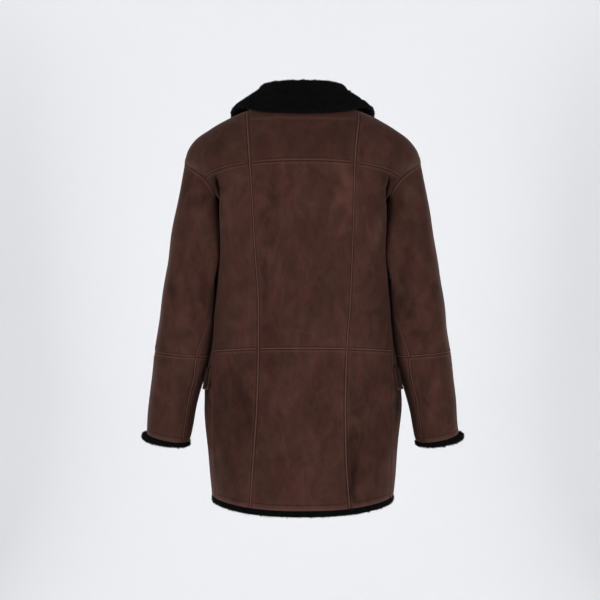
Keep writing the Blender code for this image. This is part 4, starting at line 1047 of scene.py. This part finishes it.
for half, (start, end, top_role, bottom_role) in SLEEVE_HALVES.items():
    shares = np.linspace(start, end, SEAM_POINTS)
    turns = (smooth(*np.array(seam).T, shares) for seam in (HIND_SEAM, FORE_SEAM))
    hind, fore = (np.stack([turn, shares], axis=1) for turn in turns)
    for run, other, first, last, role in (
        ("top", "under", fore - (360.0, 0.0), hind, "over"),
        ("under", "top", hind, fore, "under"),
    ):
        top, bottom = (np.linspace(first[j], last[j], SEAM_POINTS) for j in (0, -1))
        edges = {"left": first, "right": last, "top": top, "bottom": bottom}
        roles = {"left": role, "right": role, "top": top_role, "bottom": bottom_role}
        for side in ("left", "right"):
            above = "back_upper_" + side if half == "upper" else f"sleeve_{run}_upper_{side}"
            neighbours = [above, f"sleeve_{other}_{half}_{side}"]
            node = f"sleeve_{run}_{half}_{side}"
            cut_panel(node, edges, roles, sleeve, side, "sleeve", neighbours, SLEEVE_RUN_ON)


# ---------------------------------------------------------------- the pocket flaps
# A suede flap with round lower corners over each side pocket. It is sewn along its top, from just before
# the side seam forwards, and topstitched round its free edge.

FLAP_TOP, FLAP_HEIGHT, FLAP_LENGTH, FLAP_CORNER, FLAP_SEAM_GAP = -0.545, 0.046, 0.150, 0.014, -0.005
FLAP_THICK, FLAP_CLEAR, FLAP_BELLY, FLAP_HANG = 0.0032, 0.0007, 0.0003, 0.012
FLAP_PAINTED_SHADE, FLAP_RIM_PAINTED_SHADE, FLAP_RIM = -0.78, 0.45, (0.004, 0.008)  # painted shadow of the arm on the flap, less of it on the rim
FLAP_PATH_END, FLAP_MIDDLE_COLUMNS, FLAP_MIDDLE_ROWS = math.radians(162), 30, 9


def flap_grid():
    """(turn, height, down) over the flap, and the distance to its free edge: its own rounded outline, as
    in a rectangle whose two lower corners are quarter circles."""
    turns = np.linspace(float(side_turn(FLAP_TOP)), FLAP_PATH_END, SEAM_POINTS)
    reach = run_length(torso(turns, np.full_like(turns, FLAP_TOP)))
    ends = np.append(0, SEAM_LINES)
    along = strip_lines(np.array([FLAP_LENGTH]), ends, ends, FLAP_MIDDLE_COLUMNS)[0]
    depth = strip_lines(np.array([FLAP_HEIGHT]), ends[:2], ends, FLAP_MIDDLE_ROWS)[0]
    beside = np.minimum(along, FLAP_LENGTH - along)
    corner = FLAP_CORNER * (1 - np.sqrt(1 - np.clip(1 - beside / FLAP_CORNER, 0, 1) ** 2))
    down = (depth / FLAP_HEIGHT)[:, None] * (FLAP_HEIGHT - corner)
    turn = np.broadcast_to(np.interp(FLAP_SEAM_GAP + along, reach, turns), down.shape)
    low, beside = FLAP_HEIGHT - down, np.broadcast_to(beside, down.shape)
    round_off = FLAP_CORNER - np.hypot(FLAP_CORNER - beside, FLAP_CORNER - low)
    in_corner = (low < FLAP_CORNER) & (beside < FLAP_CORNER)
    return turn, FLAP_TOP - down, down, np.where(in_corner, np.maximum(round_off, 0), np.minimum(low, beside))


turn, height, down, edge = flap_grid()
# the flap's edge: ridge with rubbed nap and a painted highlight, channel with painted shade
lift, ridge, groove = read(PROFILES["over"], edge * MILLIMETRES)
hang = eased(down / FLAP_HANG)
# Painted shadow of the arm across the flap, with less of it on the rim.
shade = FLAP_PAINTED_SHADE * (FLAP_RIM_PAINTED_SHADE + (1 - FLAP_RIM_PAINTED_SHADE) * faded(edge, *FLAP_RIM))
base, normal = torso(turn, height), outward(torso, turn, height)
for side in ("left", "right"):
    turned = mirrored(side)
    roll = np.maximum(ROLLING * 0.5 * ripple(base * turned, ROLLING_SIZE / 2, 3) * hang, 0)
    inner = base + normal * (FLAP_CLEAR + hang * FLAP_BELLY + roll)[..., None]
    outer = inner + normal * (FLAP_THICK + lift / MILLIMETRES)[..., None]
    name = "pocket_flap_" + side
    values = {"ridge": ridge, "groove": groove, "shade": shade}
    flap = shell(name + "_skin", outer * turned, inner * turned, (SUEDE, SUEDE), values)
    k = STITCH_LINE["over"]
    sewn = [np.s_[: -1 - k, k], np.s_[-1 - k, k : -k], np.s_[: -1 - k, -1 - k]]
    stitch_lines += [((outer * turned)[line], (normal * turned)[line]) for line in sewn]
    sew_on(flap, name, "suede", "hung", [f"front_{side}_skin"], (FLAP_LENGTH, FLAP_HEIGHT))


# ---------------------------------------------------------------- the cuffs' fleece
# The wool of each sleeve stands past the turned edge of its suede in a soft black ring, a little proud
# all round.

CUFF_PILE = curves(
    "down proud depth",
    (0.0006, 0.0012, 0.0120), (0.0030, 0.0078, 0.0125), (0.0098, 0.0078, 0.0105), (0.0130, 0.0016, 0.0080),
)
CUFF_REACH = (0.0006, 0.0130)
CUFF_POINTS, TRIM_ROWS, TRIM_INSET = 120, 7, 0.0024
CUFF_TUFTS = {"length": 0.0046, "width": 0.0015, "spacing": 0.0015, "lean": 0.8, "comb": (0, 0, -0.25)}
CUFF_FULL, CUFF_FULLER, CUFF_LONGER = 0.9, 0.5, 0.2  # on its outer side the ring is fuller and hangs lower
CLUMP_SIZES, TUFT_LENGTHS, TUFT_UNEVEN, TUFT_SUNK = (0.0050, 0.0170), (0.65, 1.15), 0.2, 0.4


def grid_normals(points, ahead):
    """Unit normals of a grid of points, on the side that ahead points to."""
    normal = unit(np.cross(np.gradient(points, axis=1), np.gradient(points, axis=0)))
    return normal * np.where(np.sum(normal * ahead, axis=-1, keepdims=True) < 0, -1.0, 1.0)


def pile(name, points, normals, seed, length, width, spacing, lean, comb):
    """Tufts of wool over a grid: slim closed spikes of four faces, at places spread evenly by area. Each
    leans from the normal by two slow ripples of the place, so that they gather in clumps, and towards
    comb."""
    random = np.random.default_rng(seed)
    a, b, c, d = corners(points)
    area = np.linalg.norm(np.cross(c - a, d - b), axis=-1).ravel() / 2
    count = int(area.sum() / spacing**2)
    cell = np.searchsorted(area.cumsum(), (np.arange(count) + random.random(count)) / count * area.sum())
    cell = np.divmod(np.minimum(cell, len(area) - 1), points.shape[1] - 1)
    u, v = random.random((2, count, 1))

    def between(grid):
        near, below, far, beside = (corner[cell] for corner in corners(grid))
        return (near * (1 - u) + beside * u) * (1 - v) + (below * (1 - u) + far * u) * v

    root, up = between(points), unit(between(normals))
    push = np.zeros_like(root)
    for size in CLUMP_SIZES:
        push += np.stack([ripple(root, size, seed + 10 * axis + 1) for axis in range(3)], axis=1)
    push = lean * push / len(CLUMP_SIZES) + comb
    push -= up * np.minimum(np.sum(push * up, axis=1, keepdims=True), 0)
    way = unit(up + push)
    uneven = 1 + TUFT_UNEVEN * ripple(root, CLUMP_SIZES[1], seed)
    long = length * random.uniform(*TUFT_LENGTHS, (count, 1)) * uneven[:, None]
    first = unit(np.cross(way, random.normal(size=(count, 3))))
    second = np.cross(way, first)
    foot = root - up * width * TUFT_SUNK
    angles = np.radians([0, 120, 240])
    ring = [foot + (first * math.cos(a) + second * math.sin(a)) * width / 2 for a in angles]
    points = np.stack([*ring, root + way * long], axis=1).reshape(-1, 3)
    spikes = np.arange(count)[:, None, None] * 4 + np.array([(0, 1, 3), (1, 2, 3), (2, 0, 3), (0, 2, 1)])
    tips = np.tile([0.0, 0.0, 0.0, 1.0], count)
    piece = make(name, points, spikes.reshape(-1, 3), [FLEECE], {"tip": tips})
    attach(piece, "root")
    return piece


def trim(node, table, reach, place, normal, side, tufts, seed, rests_on, closed=False, fullness=1.0):
    """A fleece trim past a suede edge: rows down over reach, each stood out from place(down) and as deep
    as its table says, times fullness round it. It is drawn in by TRIM_INSET to leave room for the tufts
    that cover its outer face, foot and inner face."""
    down = np.linspace(*reach, TRIM_ROWS)
    proud, depth = (column[:, None, None] for column in read(table, down))
    outer = np.stack([place(d) for d in down]) + normal * proud * np.reshape(fullness, (-1, 1))
    inner = outer - normal * depth
    loop = np.concatenate([outer, inner[::-1]]) * mirrored(side)
    facing = grid_normals(loop, loop - loop.mean(axis=0))
    loop = loop - facing * TRIM_INSET
    sides = loop[:TRIM_ROWS], loop[: TRIM_ROWS - 1 : -1]
    ring = shell(node + "_wool", *sides, (FLEECE, FLEECE), closed=closed)
    if closed:
        loop, facing = (np.concatenate([part, part[:, :1]], axis=1) for part in (loop, facing))
    fur = pile(node + "_pile", loop, facing, seed, **tufts)
    (around, girth), _ = cut_size(loop)
    girth = girth + depth[0, 0, 0]
    sew_on(ring, node, "fleece", "hung", rests_on, (around, girth / 2), with_pieces=[fur])


around = np.linspace(0, 360, CUFF_POINTS, endpoint=False)
sleeve_length = np.linalg.norm(sleeve(90.0, 1.0) - sleeve(90.0, 1.0 - SLEEVE_TAIL)) / SLEEVE_TAIL
normal = outward(sleeve, around, 1.0 - SLEEVE_STEPS[1])
cuff_fullness = CUFF_FULL + CUFF_FULLER * np.cos(np.radians(around))
cuff_hang = 1.0 + CUFF_LONGER * np.cos(np.radians(around))


def cuff_row(down):
    """The sleeve's end carried on down by a distance, and further on its outer side."""
    return sleeve(around, 1.0 + down * cuff_hang / sleeve_length)


for seed, side in enumerate(("left", "right"), 21):
    neighbours = [f"sleeve_top_lower_{side}_skin", f"sleeve_under_lower_{side}_skin"]
    trim(
        "cuff_fleece_" + side, CUFF_PILE, CUFF_REACH, cuff_row, normal, side, CUFF_TUFTS, seed, neighbours,
        closed=True, fullness=cuff_fullness,
    )


# ---------------------------------------------------------------- the hem's fleece
# Below the turned hem the wool shows in a narrow black band, on the same line as the wall, one stretch
# for the back and one for each front.

HEM_PILE = curves(
    "down proud depth",
    (0.0004, 0.0000, 0.0065), (0.0045, 0.0005, 0.0065), (0.0118, 0.0005, 0.0050), (0.0146, -0.0010, 0.0025),
)
HEM_REACH, HEM_STEP, HEM_RADIUS = (0.0004, 0.0146), 0.004, 0.18
HEM_TUFTS = {"length": 0.0040, "width": 0.0014, "spacing": 0.0015, "lean": 0.7, "comb": (0, 0, -0.25)}


def hem_trim(node, start, end, side, recess, seed, rests_on):
    """The hem's wool between two turns: straight down from the hem's line, which lies deeper by recess
    where one front laps under the other."""
    turns = np.linspace(start, end, round(abs(end - start) * HEM_RADIUS / HEM_STEP))
    heights = hem_height(turns)
    normal = unit(outward(torso, turns, heights) * (1, 1, 0))
    edge = torso(turns, heights)
    edge = edge - normal * recess(edge[:, 0])[:, None]
    trim(node, HEM_PILE, HEM_REACH, lambda down: edge - [0, 0, down], normal, side, HEM_TUFTS, seed, rests_on)


hem_side_turn, hem_front_turn = float(side_turn(side_hem)), float(front_edge[-1, 0])
back_hem = ["back_lower_centre_skin", "back_lower_left_skin", "back_lower_right_skin"]
hem_trim("hem_fleece_back", -hem_side_turn, hem_side_turn, "left", np.zeros_like, 31, back_hem)
for seed, side, recess in ((32, "left", lap_recess), (33, "right", np.zeros_like)):
    node = "hem_fleece_front_" + side
    hem_trim(node, hem_side_turn, hem_front_turn, side, recess, seed, [f"front_{side}_skin"])


# ---------------------------------------------------------------- the collar
# A broad band of shearling worn wool side out: its stand rises from the neck seam, it rolls over and
# falls to a free edge on the shoulders. Stations run from centre back to its front end.

COLLAR = (  # share of its half length, then its place at the roll and at the free edge
    (0.00, (0.000, 0.0720, 0.0532), (0.000, 0.1075, -0.0155)),
    (0.18, (0.041, 0.0630, 0.0532), (0.060, 0.0985, -0.0125)),
    (0.36, (0.070, 0.0370, 0.0530), (0.106, 0.0700, -0.0030)),
    (0.50, (0.081, 0.0040, 0.0530), (0.138, 0.0180, 0.0090)),
    (0.64, (0.082, -0.0320, 0.0500), (0.154, -0.0340, 0.0030)),
    (0.83, (0.077, -0.0700, 0.0300), (0.157, -0.0840, -0.0310)),
    (1.00, (0.068, -0.1080, -0.0040), (0.150, -0.1200, -0.0760)),
)
COLLAR_THICK, COLLAR_ROLL, COLLAR_LIFT, COLLAR_BELLY = 0.011, 0.0090, 0.0016, 0.002
COLLAR_BASE_TILT, COLLAR_EDGE_THIN, COLLAR_EDGE_ROUND = 0.1, 0.45, 0.008
COLLAR_STATIONS, STAND_ROWS, ROLL_ROWS, FALL_ROWS, NOTCH_AT = 181, 12, 13, 26, 0.30
COLLAR_INSET, LUMPS, LUMP_SIZE = 0.0022, 0.0005, 0.016
COLLAR_TUFTS = {"length": 0.0036, "width": 0.0014, "spacing": 0.00155, "lean": 0.8, "comb": (0, 0, -0.2)}


def neckline(share):
    """Point and outward direction in the middle of the wall's top edge, from centre back (0) to the notch
    (1)."""
    back = level(neck_height, 0, NECK_SIDE_TURN)
    line = np.concatenate([back, roll_line(np.linspace(0, NOTCH_AT, SEAM_POINTS))[1:]])
    normal = outward(torso, *line.T)
    middle = torso(*line.T) - normal * SKIN / 2
    reach = run_length(middle)
    return [values_along(share * reach[-1], reach, part) for part in (middle, normal)]


def collar_path():
    """Middle of the band: straight up the stand, half a circle over the roll, then a quadratic curve that
    bellies out to the free edge. Rows run down the band and columns from its right end to its left; also
    the stand's foot normal and the band's outward direction."""
    stations = np.linspace(-1, 1, COLLAR_STATIONS)
    side = np.where(stations < 0, -1.0, 1.0)[:, None] * [1.0, 0.0, 0.0] + [0.0, 1.0, 1.0]
    reach = np.abs(stations)
    shares, *lines = zip(*COLLAR)
    roll, edge = (
        np.stack([smooth(shares, values, reach) for values in zip(*line)], axis=1) * side for line in lines
    )
    neck, foot_normal = (part * side for part in neckline(reach))
    up = np.array([0.0, 0.0, 1.0])
    neck = neck + up * COLLAR_LIFT
    out = unit((edge - neck) * [1.0, 1.0, 0.0])
    middle = roll - up * COLLAR_ROLL
    stand_top, fall_top = middle - out * COLLAR_ROLL, middle + out * COLLAR_ROLL
    pull = (fall_top + edge) / 2 + unit(out + up) * COLLAR_BELLY
    half_circle, drop = np.linspace(math.pi, 0, ROLL_ROWS), np.linspace(0, 1, FALL_ROWS)
    stand = [neck + (stand_top - neck) * t for t in np.linspace(0, 1, STAND_ROWS)]
    bend = [middle + COLLAR_ROLL * (math.cos(a) * out + math.sin(a) * up) for a in half_circle]
    fall = [fall_top * (1 - t) ** 2 + 2 * pull * t * (1 - t) + edge * t**2 for t in drop]
    return np.stack(stand + bend[1:] + fall[1:]), foot_normal, out


path, foot_normal, out = collar_path()
normal = grid_normals(path, np.zeros(3))
normal = normal * np.sign(np.sum(normal[-2] * out, axis=-1))[None, :, None]
normal[0] = unit(normal[1] * COLLAR_BASE_TILT - foot_normal)
from_edge = np.sqrt(np.clip(np.linalg.norm(path - path[-1:], axis=-1) / COLLAR_EDGE_ROUND, 0, 1))
half_thick = COLLAR_THICK / 2 * (COLLAR_EDGE_THIN + (1 - COLLAR_EDGE_THIN) * from_edge)
lumps = LUMPS * ripple(path, LUMP_SIZE, 41) - COLLAR_INSET
lumps[0] = 0
outer, inner = path + normal * (half_thick + lumps)[..., None], path - normal * half_thick[..., None]
collar = shell("collar_wool", outer, inner, (FLEECE, FLEECE))
wrap = np.concatenate([outer[2:], outer[-1:] * 0.5 + inner[-1:] * 0.5, inner[-1:]])
wrap_normal = np.concatenate([normal[2:], unit(path[-1:] - path[-4:-3]), -normal[-1:]])
fur = pile("collar_pile", wrap, wrap_normal, 42, **COLLAR_TUFTS)
sew_on(collar, "collar", "fleece", "folded", ["yoke_centre_skin"], *cut_size(path), [fur])


# ---------------------------------------------------------------- the lapels
# The top of each front folded back on the chest, wool side out. The right one ends where the fronts lap,
# and the left one goes in under the right front.

LAPEL_FEET = {  # lower ends of the fold and of the free edge
    "left": ((0.011, -0.212), (0.030, -0.245)),
    "right": ((-0.026, -0.293), (-0.023, -0.297)),
}
LAPEL_NOTCH, LAPEL_BELLY, LAPEL_THICK, LAPEL_CLEAR = (0.150, -0.112), (0.012, -0.004), 0.010, 0.0018
NOTCH_GAP, GORGE_CLEAR, LAPEL_ROUND, LAPEL_RIM, LAPEL_ROWS, LAPEL_LINES = 0.004, 0.002, 0.007, 0.4, 90, 44


def lapel_grid(fold_foot, free_foot):
    """(distance, height) from the fold across to the free edge, which swells by half a sine wave; and the
    distance to the nearest edge."""
    down = np.linspace(0, 1, LAPEL_ROWS)[:, None, None]
    over = np.linspace(0, 1, LAPEL_LINES)[None, :, None]
    gorge = np.array(ROLL_TOP) + [GORGE_CLEAR, -NOTCH_GAP]
    notch = np.array(LAPEL_NOTCH) - [0.0, NOTCH_GAP]
    fold = gorge * (1 - down) + np.array(fold_foot) * down
    free = notch * (1 - down) + np.array(free_foot) * down + np.array(LAPEL_BELLY) * np.sin(math.pi * down)
    grid = fold * (1 - over) + free * over
    across = np.minimum(over, 1 - over)[..., 0] * np.linalg.norm(free - fold, axis=-1)
    return grid, np.minimum(across, np.minimum(down, 1 - down)[..., 0] * line_lengths(grid[:, :1], 0)[0])


for seed, (side, feet) in enumerate(LAPEL_FEET.items(), 51):
    turned = mirrored(side)
    grid, edge = lapel_grid(*feet)
    place = turn_at(grid[..., 0], grid[..., 1], front=True), grid[..., 1]
    base, normal = torso(*place) * turned, outward(torso, *place) * turned
    rounded = np.sqrt(1 - (1 - np.clip(edge / LAPEL_ROUND, 0, 1)) ** 2)
    thick = LAPEL_THICK * (LAPEL_RIM + (1 - LAPEL_RIM) * rounded) - COLLAR_INSET
    thick = thick + LUMPS * ripple(base, LUMP_SIZE, seed)
    inner = base + normal * LAPEL_CLEAR
    outer = inner + normal * thick[..., None]
    lapel = shell(f"lapel_{side}_wool", outer, inner, CLOTH[::-1])
    fur = pile(f"lapel_{side}_pile", outer, grid_normals(outer, normal), seed, **COLLAR_TUFTS)
    sew_on(lapel, "lapel_" + side, "fleece", "folded", [f"front_{side}_skin"], *cut_size(base), [fur])


# ---------------------------------------------------------------- the topstitching
# Dark brown thread in single rows beside the lapped seams, the hems and the neck: each stitch is a short
# plump spindle that dips into the suede at both ends.

STITCH_PITCH, STITCH_LENGTH, STITCH_THICK, STITCH_RISE = 0.0035, 0.0027, 0.00055, 0.0002
THREAD_COLOUR, THREAD_DARK = (0.020, 0.0095, 0.0075), (0.010, 0.00475, 0.00375)
SPINDLE_SHARES, SPINDLE_SIDES, SPINDLE_DIP = (0.16, 0.5, 0.84), 4, 0.6


def spindles(name, starts, ends, ups, thick, rise):
    """One mesh of many stitches: rings round a line that bows up between its two ends, closed to a point
    at each."""
    along, count = ends - starts, len(starts)
    aside = unit(np.cross(along, ups))
    over = unit(np.cross(aside, along))
    dip = over * thick * SPINDLE_DIP
    angles = np.arange(SPINDLE_SIDES) * 2 * math.pi / SPINDLE_SIDES + math.pi / 4
    rings = []
    for share in SPINDLE_SHARES:
        bow = 4 * share * (1 - share)
        middle, size = starts + along * share + over * (rise + thick) * bow - dip, thick / 2 * math.sqrt(bow)
        rings += [middle + (aside * math.cos(a) + over * math.sin(a)) * size for a in angles]
    points = np.stack([*rings, starts - dip, ends - dip], axis=1).reshape(-1, 3)
    sides, last = SPINDLE_SIDES, SPINDLE_SIDES * len(SPINDLE_SHARES)
    faces = []
    for k in range(sides):
        j = (k + 1) % sides
        for low in range(0, last - sides, sides):
            high = low + sides
            faces += [(low + k, low + j, high + j), (low + k, high + j, high + k)]
        faces += [(last, j, k), (last + 1, last - sides + k, last - sides + j)]
    faces = (np.arange(count)[:, None, None] * (last + 2) + np.array(faces)).reshape(-1, 3)
    piece = make(name, points, faces, [THREAD])
    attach(piece, "root")


def thread():
    """Twisted sewing thread: fine dark bands along it."""
    material, tree, shader = finish("thread", 0.7, Specular_IOR_Level=0.2)
    twist = use(tree, GRAIN, Coordinates=add_node(tree, "TexCoord")["Object"], Size=0.0004, Curl=0.3)
    connect(shader, Base_Color=blend(tree, twist["Shade"], THREAD_COLOUR, THREAD_DARK))
    return material


THREAD = thread()
stitches = [[], [], []]  # starts, ends and normals
for points, normals in stitch_lines:
    reach = run_length(points)
    first = np.arange(STITCH_PITCH / 2, reach[-1] - STITCH_LENGTH, STITCH_PITCH)
    for found, at, values in zip(stitches, (first, first + STITCH_LENGTH, first), (points, points, normals)):
        found.append(values_along(at, reach, values))
spindles("topstitching", *map(np.concatenate, stitches), STITCH_THICK, STITCH_RISE)


# ---------------------------------------------------------------- the buttons
# Four dark horn buttons down the centre front: a turned disc with a raised rim and four holes, sewn on
# with a cross of thread through a worked buttonhole in the upper front.

BUTTON_HEIGHTS = (-0.345, -0.450, -0.555, -0.660)
BUTTON_THICK, BUTTON_SEAT = 0.0050, 0.0003
BUTTON_TURNED = (  # from the middle of the face over the rim to the middle of the back: radius, height in mm
    (0.0, 3.9), (1.0, 3.9), (1.6, 3.9), (1.9, 3.9), (2.2, 3.9), (2.5, 3.9), (2.8, 3.9), (3.1, 3.9),
    (3.4, 3.9), (3.7, 3.9), (4.0, 3.9), (4.6, 3.92), (6.0, 4.0), (8.0, 4.15), (9.3, 4.4), (10.1, 4.8),
    (11.0, 5.0), (12.0, 5.0), (12.9, 4.8), (13.6, 4.2), (14.0, 3.2), (14.0, 2.0), (13.6, 0.9),
    (12.6, 0.2), (11.0, 0.0), (5.0, 0.0), (0.0, 0.0),
)
BUTTON_COLUMNS, HOLE_OUT, HOLE_RADIUS, HOLE_DEPTH, HOLE_SOFT = 96, 0.0028, 0.0010, 0.0024, 0.0004
CROSS_THICK, CROSS_RISE, CROSS_SPREAD, CROSS_CLEAR = 0.0006, 0.0004, 0.0005, 0.0001
HOLE_LENGTH, HOLE_OFFSET, HOLE_PITCH, HOLE_STITCH = 0.028, 0.004, 0.0009, 0.0032
LIP_THICK, LIP_RISE, LIP_CLEAR = 0.0008, 0.0003, 0.0002
HORN_DARK, HORN_LIGHT, HORN_GRAIN = (0.0080, 0.0044, 0.0034), (0.0340, 0.0180, 0.0120), (1.0, 1.0, 0.25)


def horn():
    """Polished horn: dark with lighter streaks that run one way."""
    material, tree, shader = finish(
        "horn", 0.28, Specular_IOR_Level=0.3, Coat_Weight=0.1, Coat_Roughness=0.15
    )
    at = add_node(tree, "TexCoord")["Object"]
    stretched = add_node(tree, "Mapping", {"Vector": at, "Scale": HORN_GRAIN})[0]
    streaks = use(tree, CLOUDS, Coordinates=stretched, Size=0.0035, Contrast=3.0)["Mask"]
    fine = use(tree, GRAIN, Coordinates=at, Size=0.0012, Curl=0.5)["Shade"]
    rough = reckon(tree, "MULTIPLY_ADD", fine, 0.2, 0.2)
    connect(shader, Base_Color=blend(tree, streaks, HORN_DARK, HORN_LIGHT), Roughness=rough)
    return material


def button_form():
    """Points and faces of a button about its own axis: its turned outline, with four soft-edged holes in
    the face."""
    turned = np.array(BUTTON_TURNED) / MILLIMETRES
    angles = np.arange(BUTTON_COLUMNS) * 2 * math.pi / BUTTON_COLUMNS
    x, y = turned[1:-1, :1] * np.cos(angles), turned[1:-1, :1] * np.sin(angles)
    rise = turned[1:-1, 1:]
    hole_off = np.hypot(np.abs(x) - HOLE_OUT / math.sqrt(2), np.abs(y) - HOLE_OUT / math.sqrt(2))
    hole = eased((HOLE_RADIUS - hole_off) / HOLE_SOFT + 0.5) * (rise > BUTTON_THICK / 2)
    points = np.stack([x, y, rise - HOLE_DEPTH * hole], axis=-1).reshape(-1, 3)
    index = np.arange(x.size).reshape(x.shape)
    index = np.concatenate([index, index[:, :1]], axis=1)
    faces = np.stack(corners(index), axis=-1).reshape(-1, 4).tolist()
    faces += [(x.size, first, second) for first, second in zip(index[0], index[0, 1:])]
    faces += [(x.size + 1, second, first) for first, second in zip(index[-1], index[-1, 1:])]
    return np.concatenate([points, [(0, 0, turned[0, 1]), (0, 0, 0)]]), faces


HORN = horn()
local, faces = button_form()
cross, face = HOLE_OUT / math.sqrt(2), BUTTON_TURNED[0][1] / MILLIMETRES + CROSS_CLEAR
places = [(y + shift, face) for y in (cross, -cross) for shift in (-CROSS_SPREAD, 0.0, CROSS_SPREAD)]
for number, height in enumerate(BUTTON_HEIGHTS, 1):
    seat, normal = torso(math.pi, height), outward(torso, math.pi, height)
    right = unit(np.cross([0.0, 0.0, 1.0], normal))
    axes, seat = np.stack([right, np.cross(normal, right), normal]), seat + normal * BUTTON_SEAT
    button = make(f"button_{number}_horn", local @ axes + seat, faces, [HORN], sharp=BUTTON_CRISP)
    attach(button, "root")
    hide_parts(f"button_{number}")
    first, last = (np.array([(x, *place) for place in places]) @ axes + seat for x in (-cross, cross))
    ups = np.broadcast_to(normal, first.shape)
    spindles(f"button_{number}_thread", first, last, ups, CROSS_THICK, CROSS_RISE)
    along = np.arange(-HOLE_OFFSET, HOLE_LENGTH - HOLE_OFFSET, HOLE_PITCH)
    heights = np.full_like(along, height)
    turns = 2 * math.pi - turn_at(along, heights, front=True)
    ups = outward(torso, turns, heights)
    base = torso(turns, heights) + ups * LIP_CLEAR
    for lip, across in (("upper", HOLE_STITCH), ("lower", -HOLE_STITCH)):
        spindles(f"buttonhole_{number}_{lip}", base, base + [0.0, 0.0, across], ups, LIP_THICK, LIP_RISE)


# ---------------------------------------------------------------- the studio
# A pale floor that sweeps up into a backdrop, broad soft lights and a long lens.

FLOOR_HEIGHT, WALL_Y, SWEEP, STAGE_HALF_WIDTH, STAGE_FRONT, STAGE_TOP = -2.0, -3.6, 1.2, 9.0, 9.0, 6.0
CAMERA_AT, CAMERA_LENS = (0.00577, 3.03, -0.402), 85.0  # it looks level along -Y
SENSOR_WIDTH = 36.0  # millimetres, as the lens is
LIGHTS = {  # in pairs that mirror each other: the place of the one at +X, what it points at, size and power
    "": ((2.0, 3.1, -0.4), (0.0, 0.0, -0.4), 1.8, 82.0),
    "rim_": ((2.5, -2.0, -0.6), (0.0, 0.0, -0.4), 1.2, 66.0),
    "wall_": ((2.0, -2.8, 2.6), (0.3, -3.6, 1.3), 1.5, 26.0),
    "floor_": ((3.0, -1.0, -0.5), (0.4, -3.4, -2.5), 1.5, 13.0),
}
SKY_LEVEL, SKY_ABOVE, SKY_FADE, SKY_STRENGTH = (0.93, 0.93, 0.95), (0.20, 0.20, 0.21), (0.15, 0.75), 0.98
PAPER, SWEEP_POINTS = (0.614, 0.619, 0.634, 1.0), 17

angles = np.linspace(0, math.pi / 2, SWEEP_POINTS)
profile_y = np.array([STAGE_FRONT, *(WALL_Y + SWEEP * (1 - np.sin(angles))), WALL_Y])
profile_z = np.array([FLOOR_HEIGHT, *(FLOOR_HEIGHT + SWEEP * (1 - np.cos(angles))), STAGE_TOP])
points = [(x, y, z) for x in (-STAGE_HALF_WIDTH, STAGE_HALF_WIDTH) for y, z in zip(profile_y, profile_z)]
count = len(profile_y)
quads = [(k, k + 1, count + k + 1, count + k) for k in range(count - 1)]
paper = finish("paper", 0.9, Base_Color=PAPER)[0]
make("backdrop", points, quads, [paper])

for name, (place, target, size, power) in LIGHTS.items():
    for side, sign in (("left", -1), ("right", 1)):
        at, aim = (Vector((sign * x, y, z)) for x, y, z in (place, target))
        lamp = bpy.data.lights.new(name + side, "AREA")
        lamp.shape, lamp.size, lamp.energy = "DISK", size, power
        holder = bpy.data.objects.new(lamp.name, lamp)
        holder.location, holder.visible_camera = at, False
        holder.rotation_euler = (aim - at).to_track_quat("-Z", "Y").to_euler()
        bpy.context.scene.collection.objects.link(holder)

# The room is bright all round at the coat's level and dim overhead.
world = bpy.data.worlds.new("studio")
world.use_nodes = True
sky, low, high = world.node_tree, *SKY_FADE
upwards = add_node(sky, "SeparateXYZ", {0: add_node(sky, "TexCoord")["Generated"]})["Z"]
aloft = add_node(sky, "MapRange", {"Value": upwards, "From Min": low, "From Max": high})[0]
background = sky.nodes["Background"]
connect(background, Color=blend(sky, aloft, SKY_LEVEL, SKY_ABOVE))
background.inputs["Strength"].default_value = SKY_STRENGTH
bpy.context.scene.world = world
bpy.context.scene.view_settings.view_transform = "Standard"

lens = bpy.data.cameras.new("camera")
lens.lens, lens.sensor_width = CAMERA_LENS, SENSOR_WIDTH
camera = bpy.data.objects.new("camera", lens)
camera.location, camera.rotation_euler = CAMERA_AT, (math.radians(90), 0, math.radians(180))
bpy.context.scene.collection.objects.link(camera)
bpy.context.scene.camera = camera
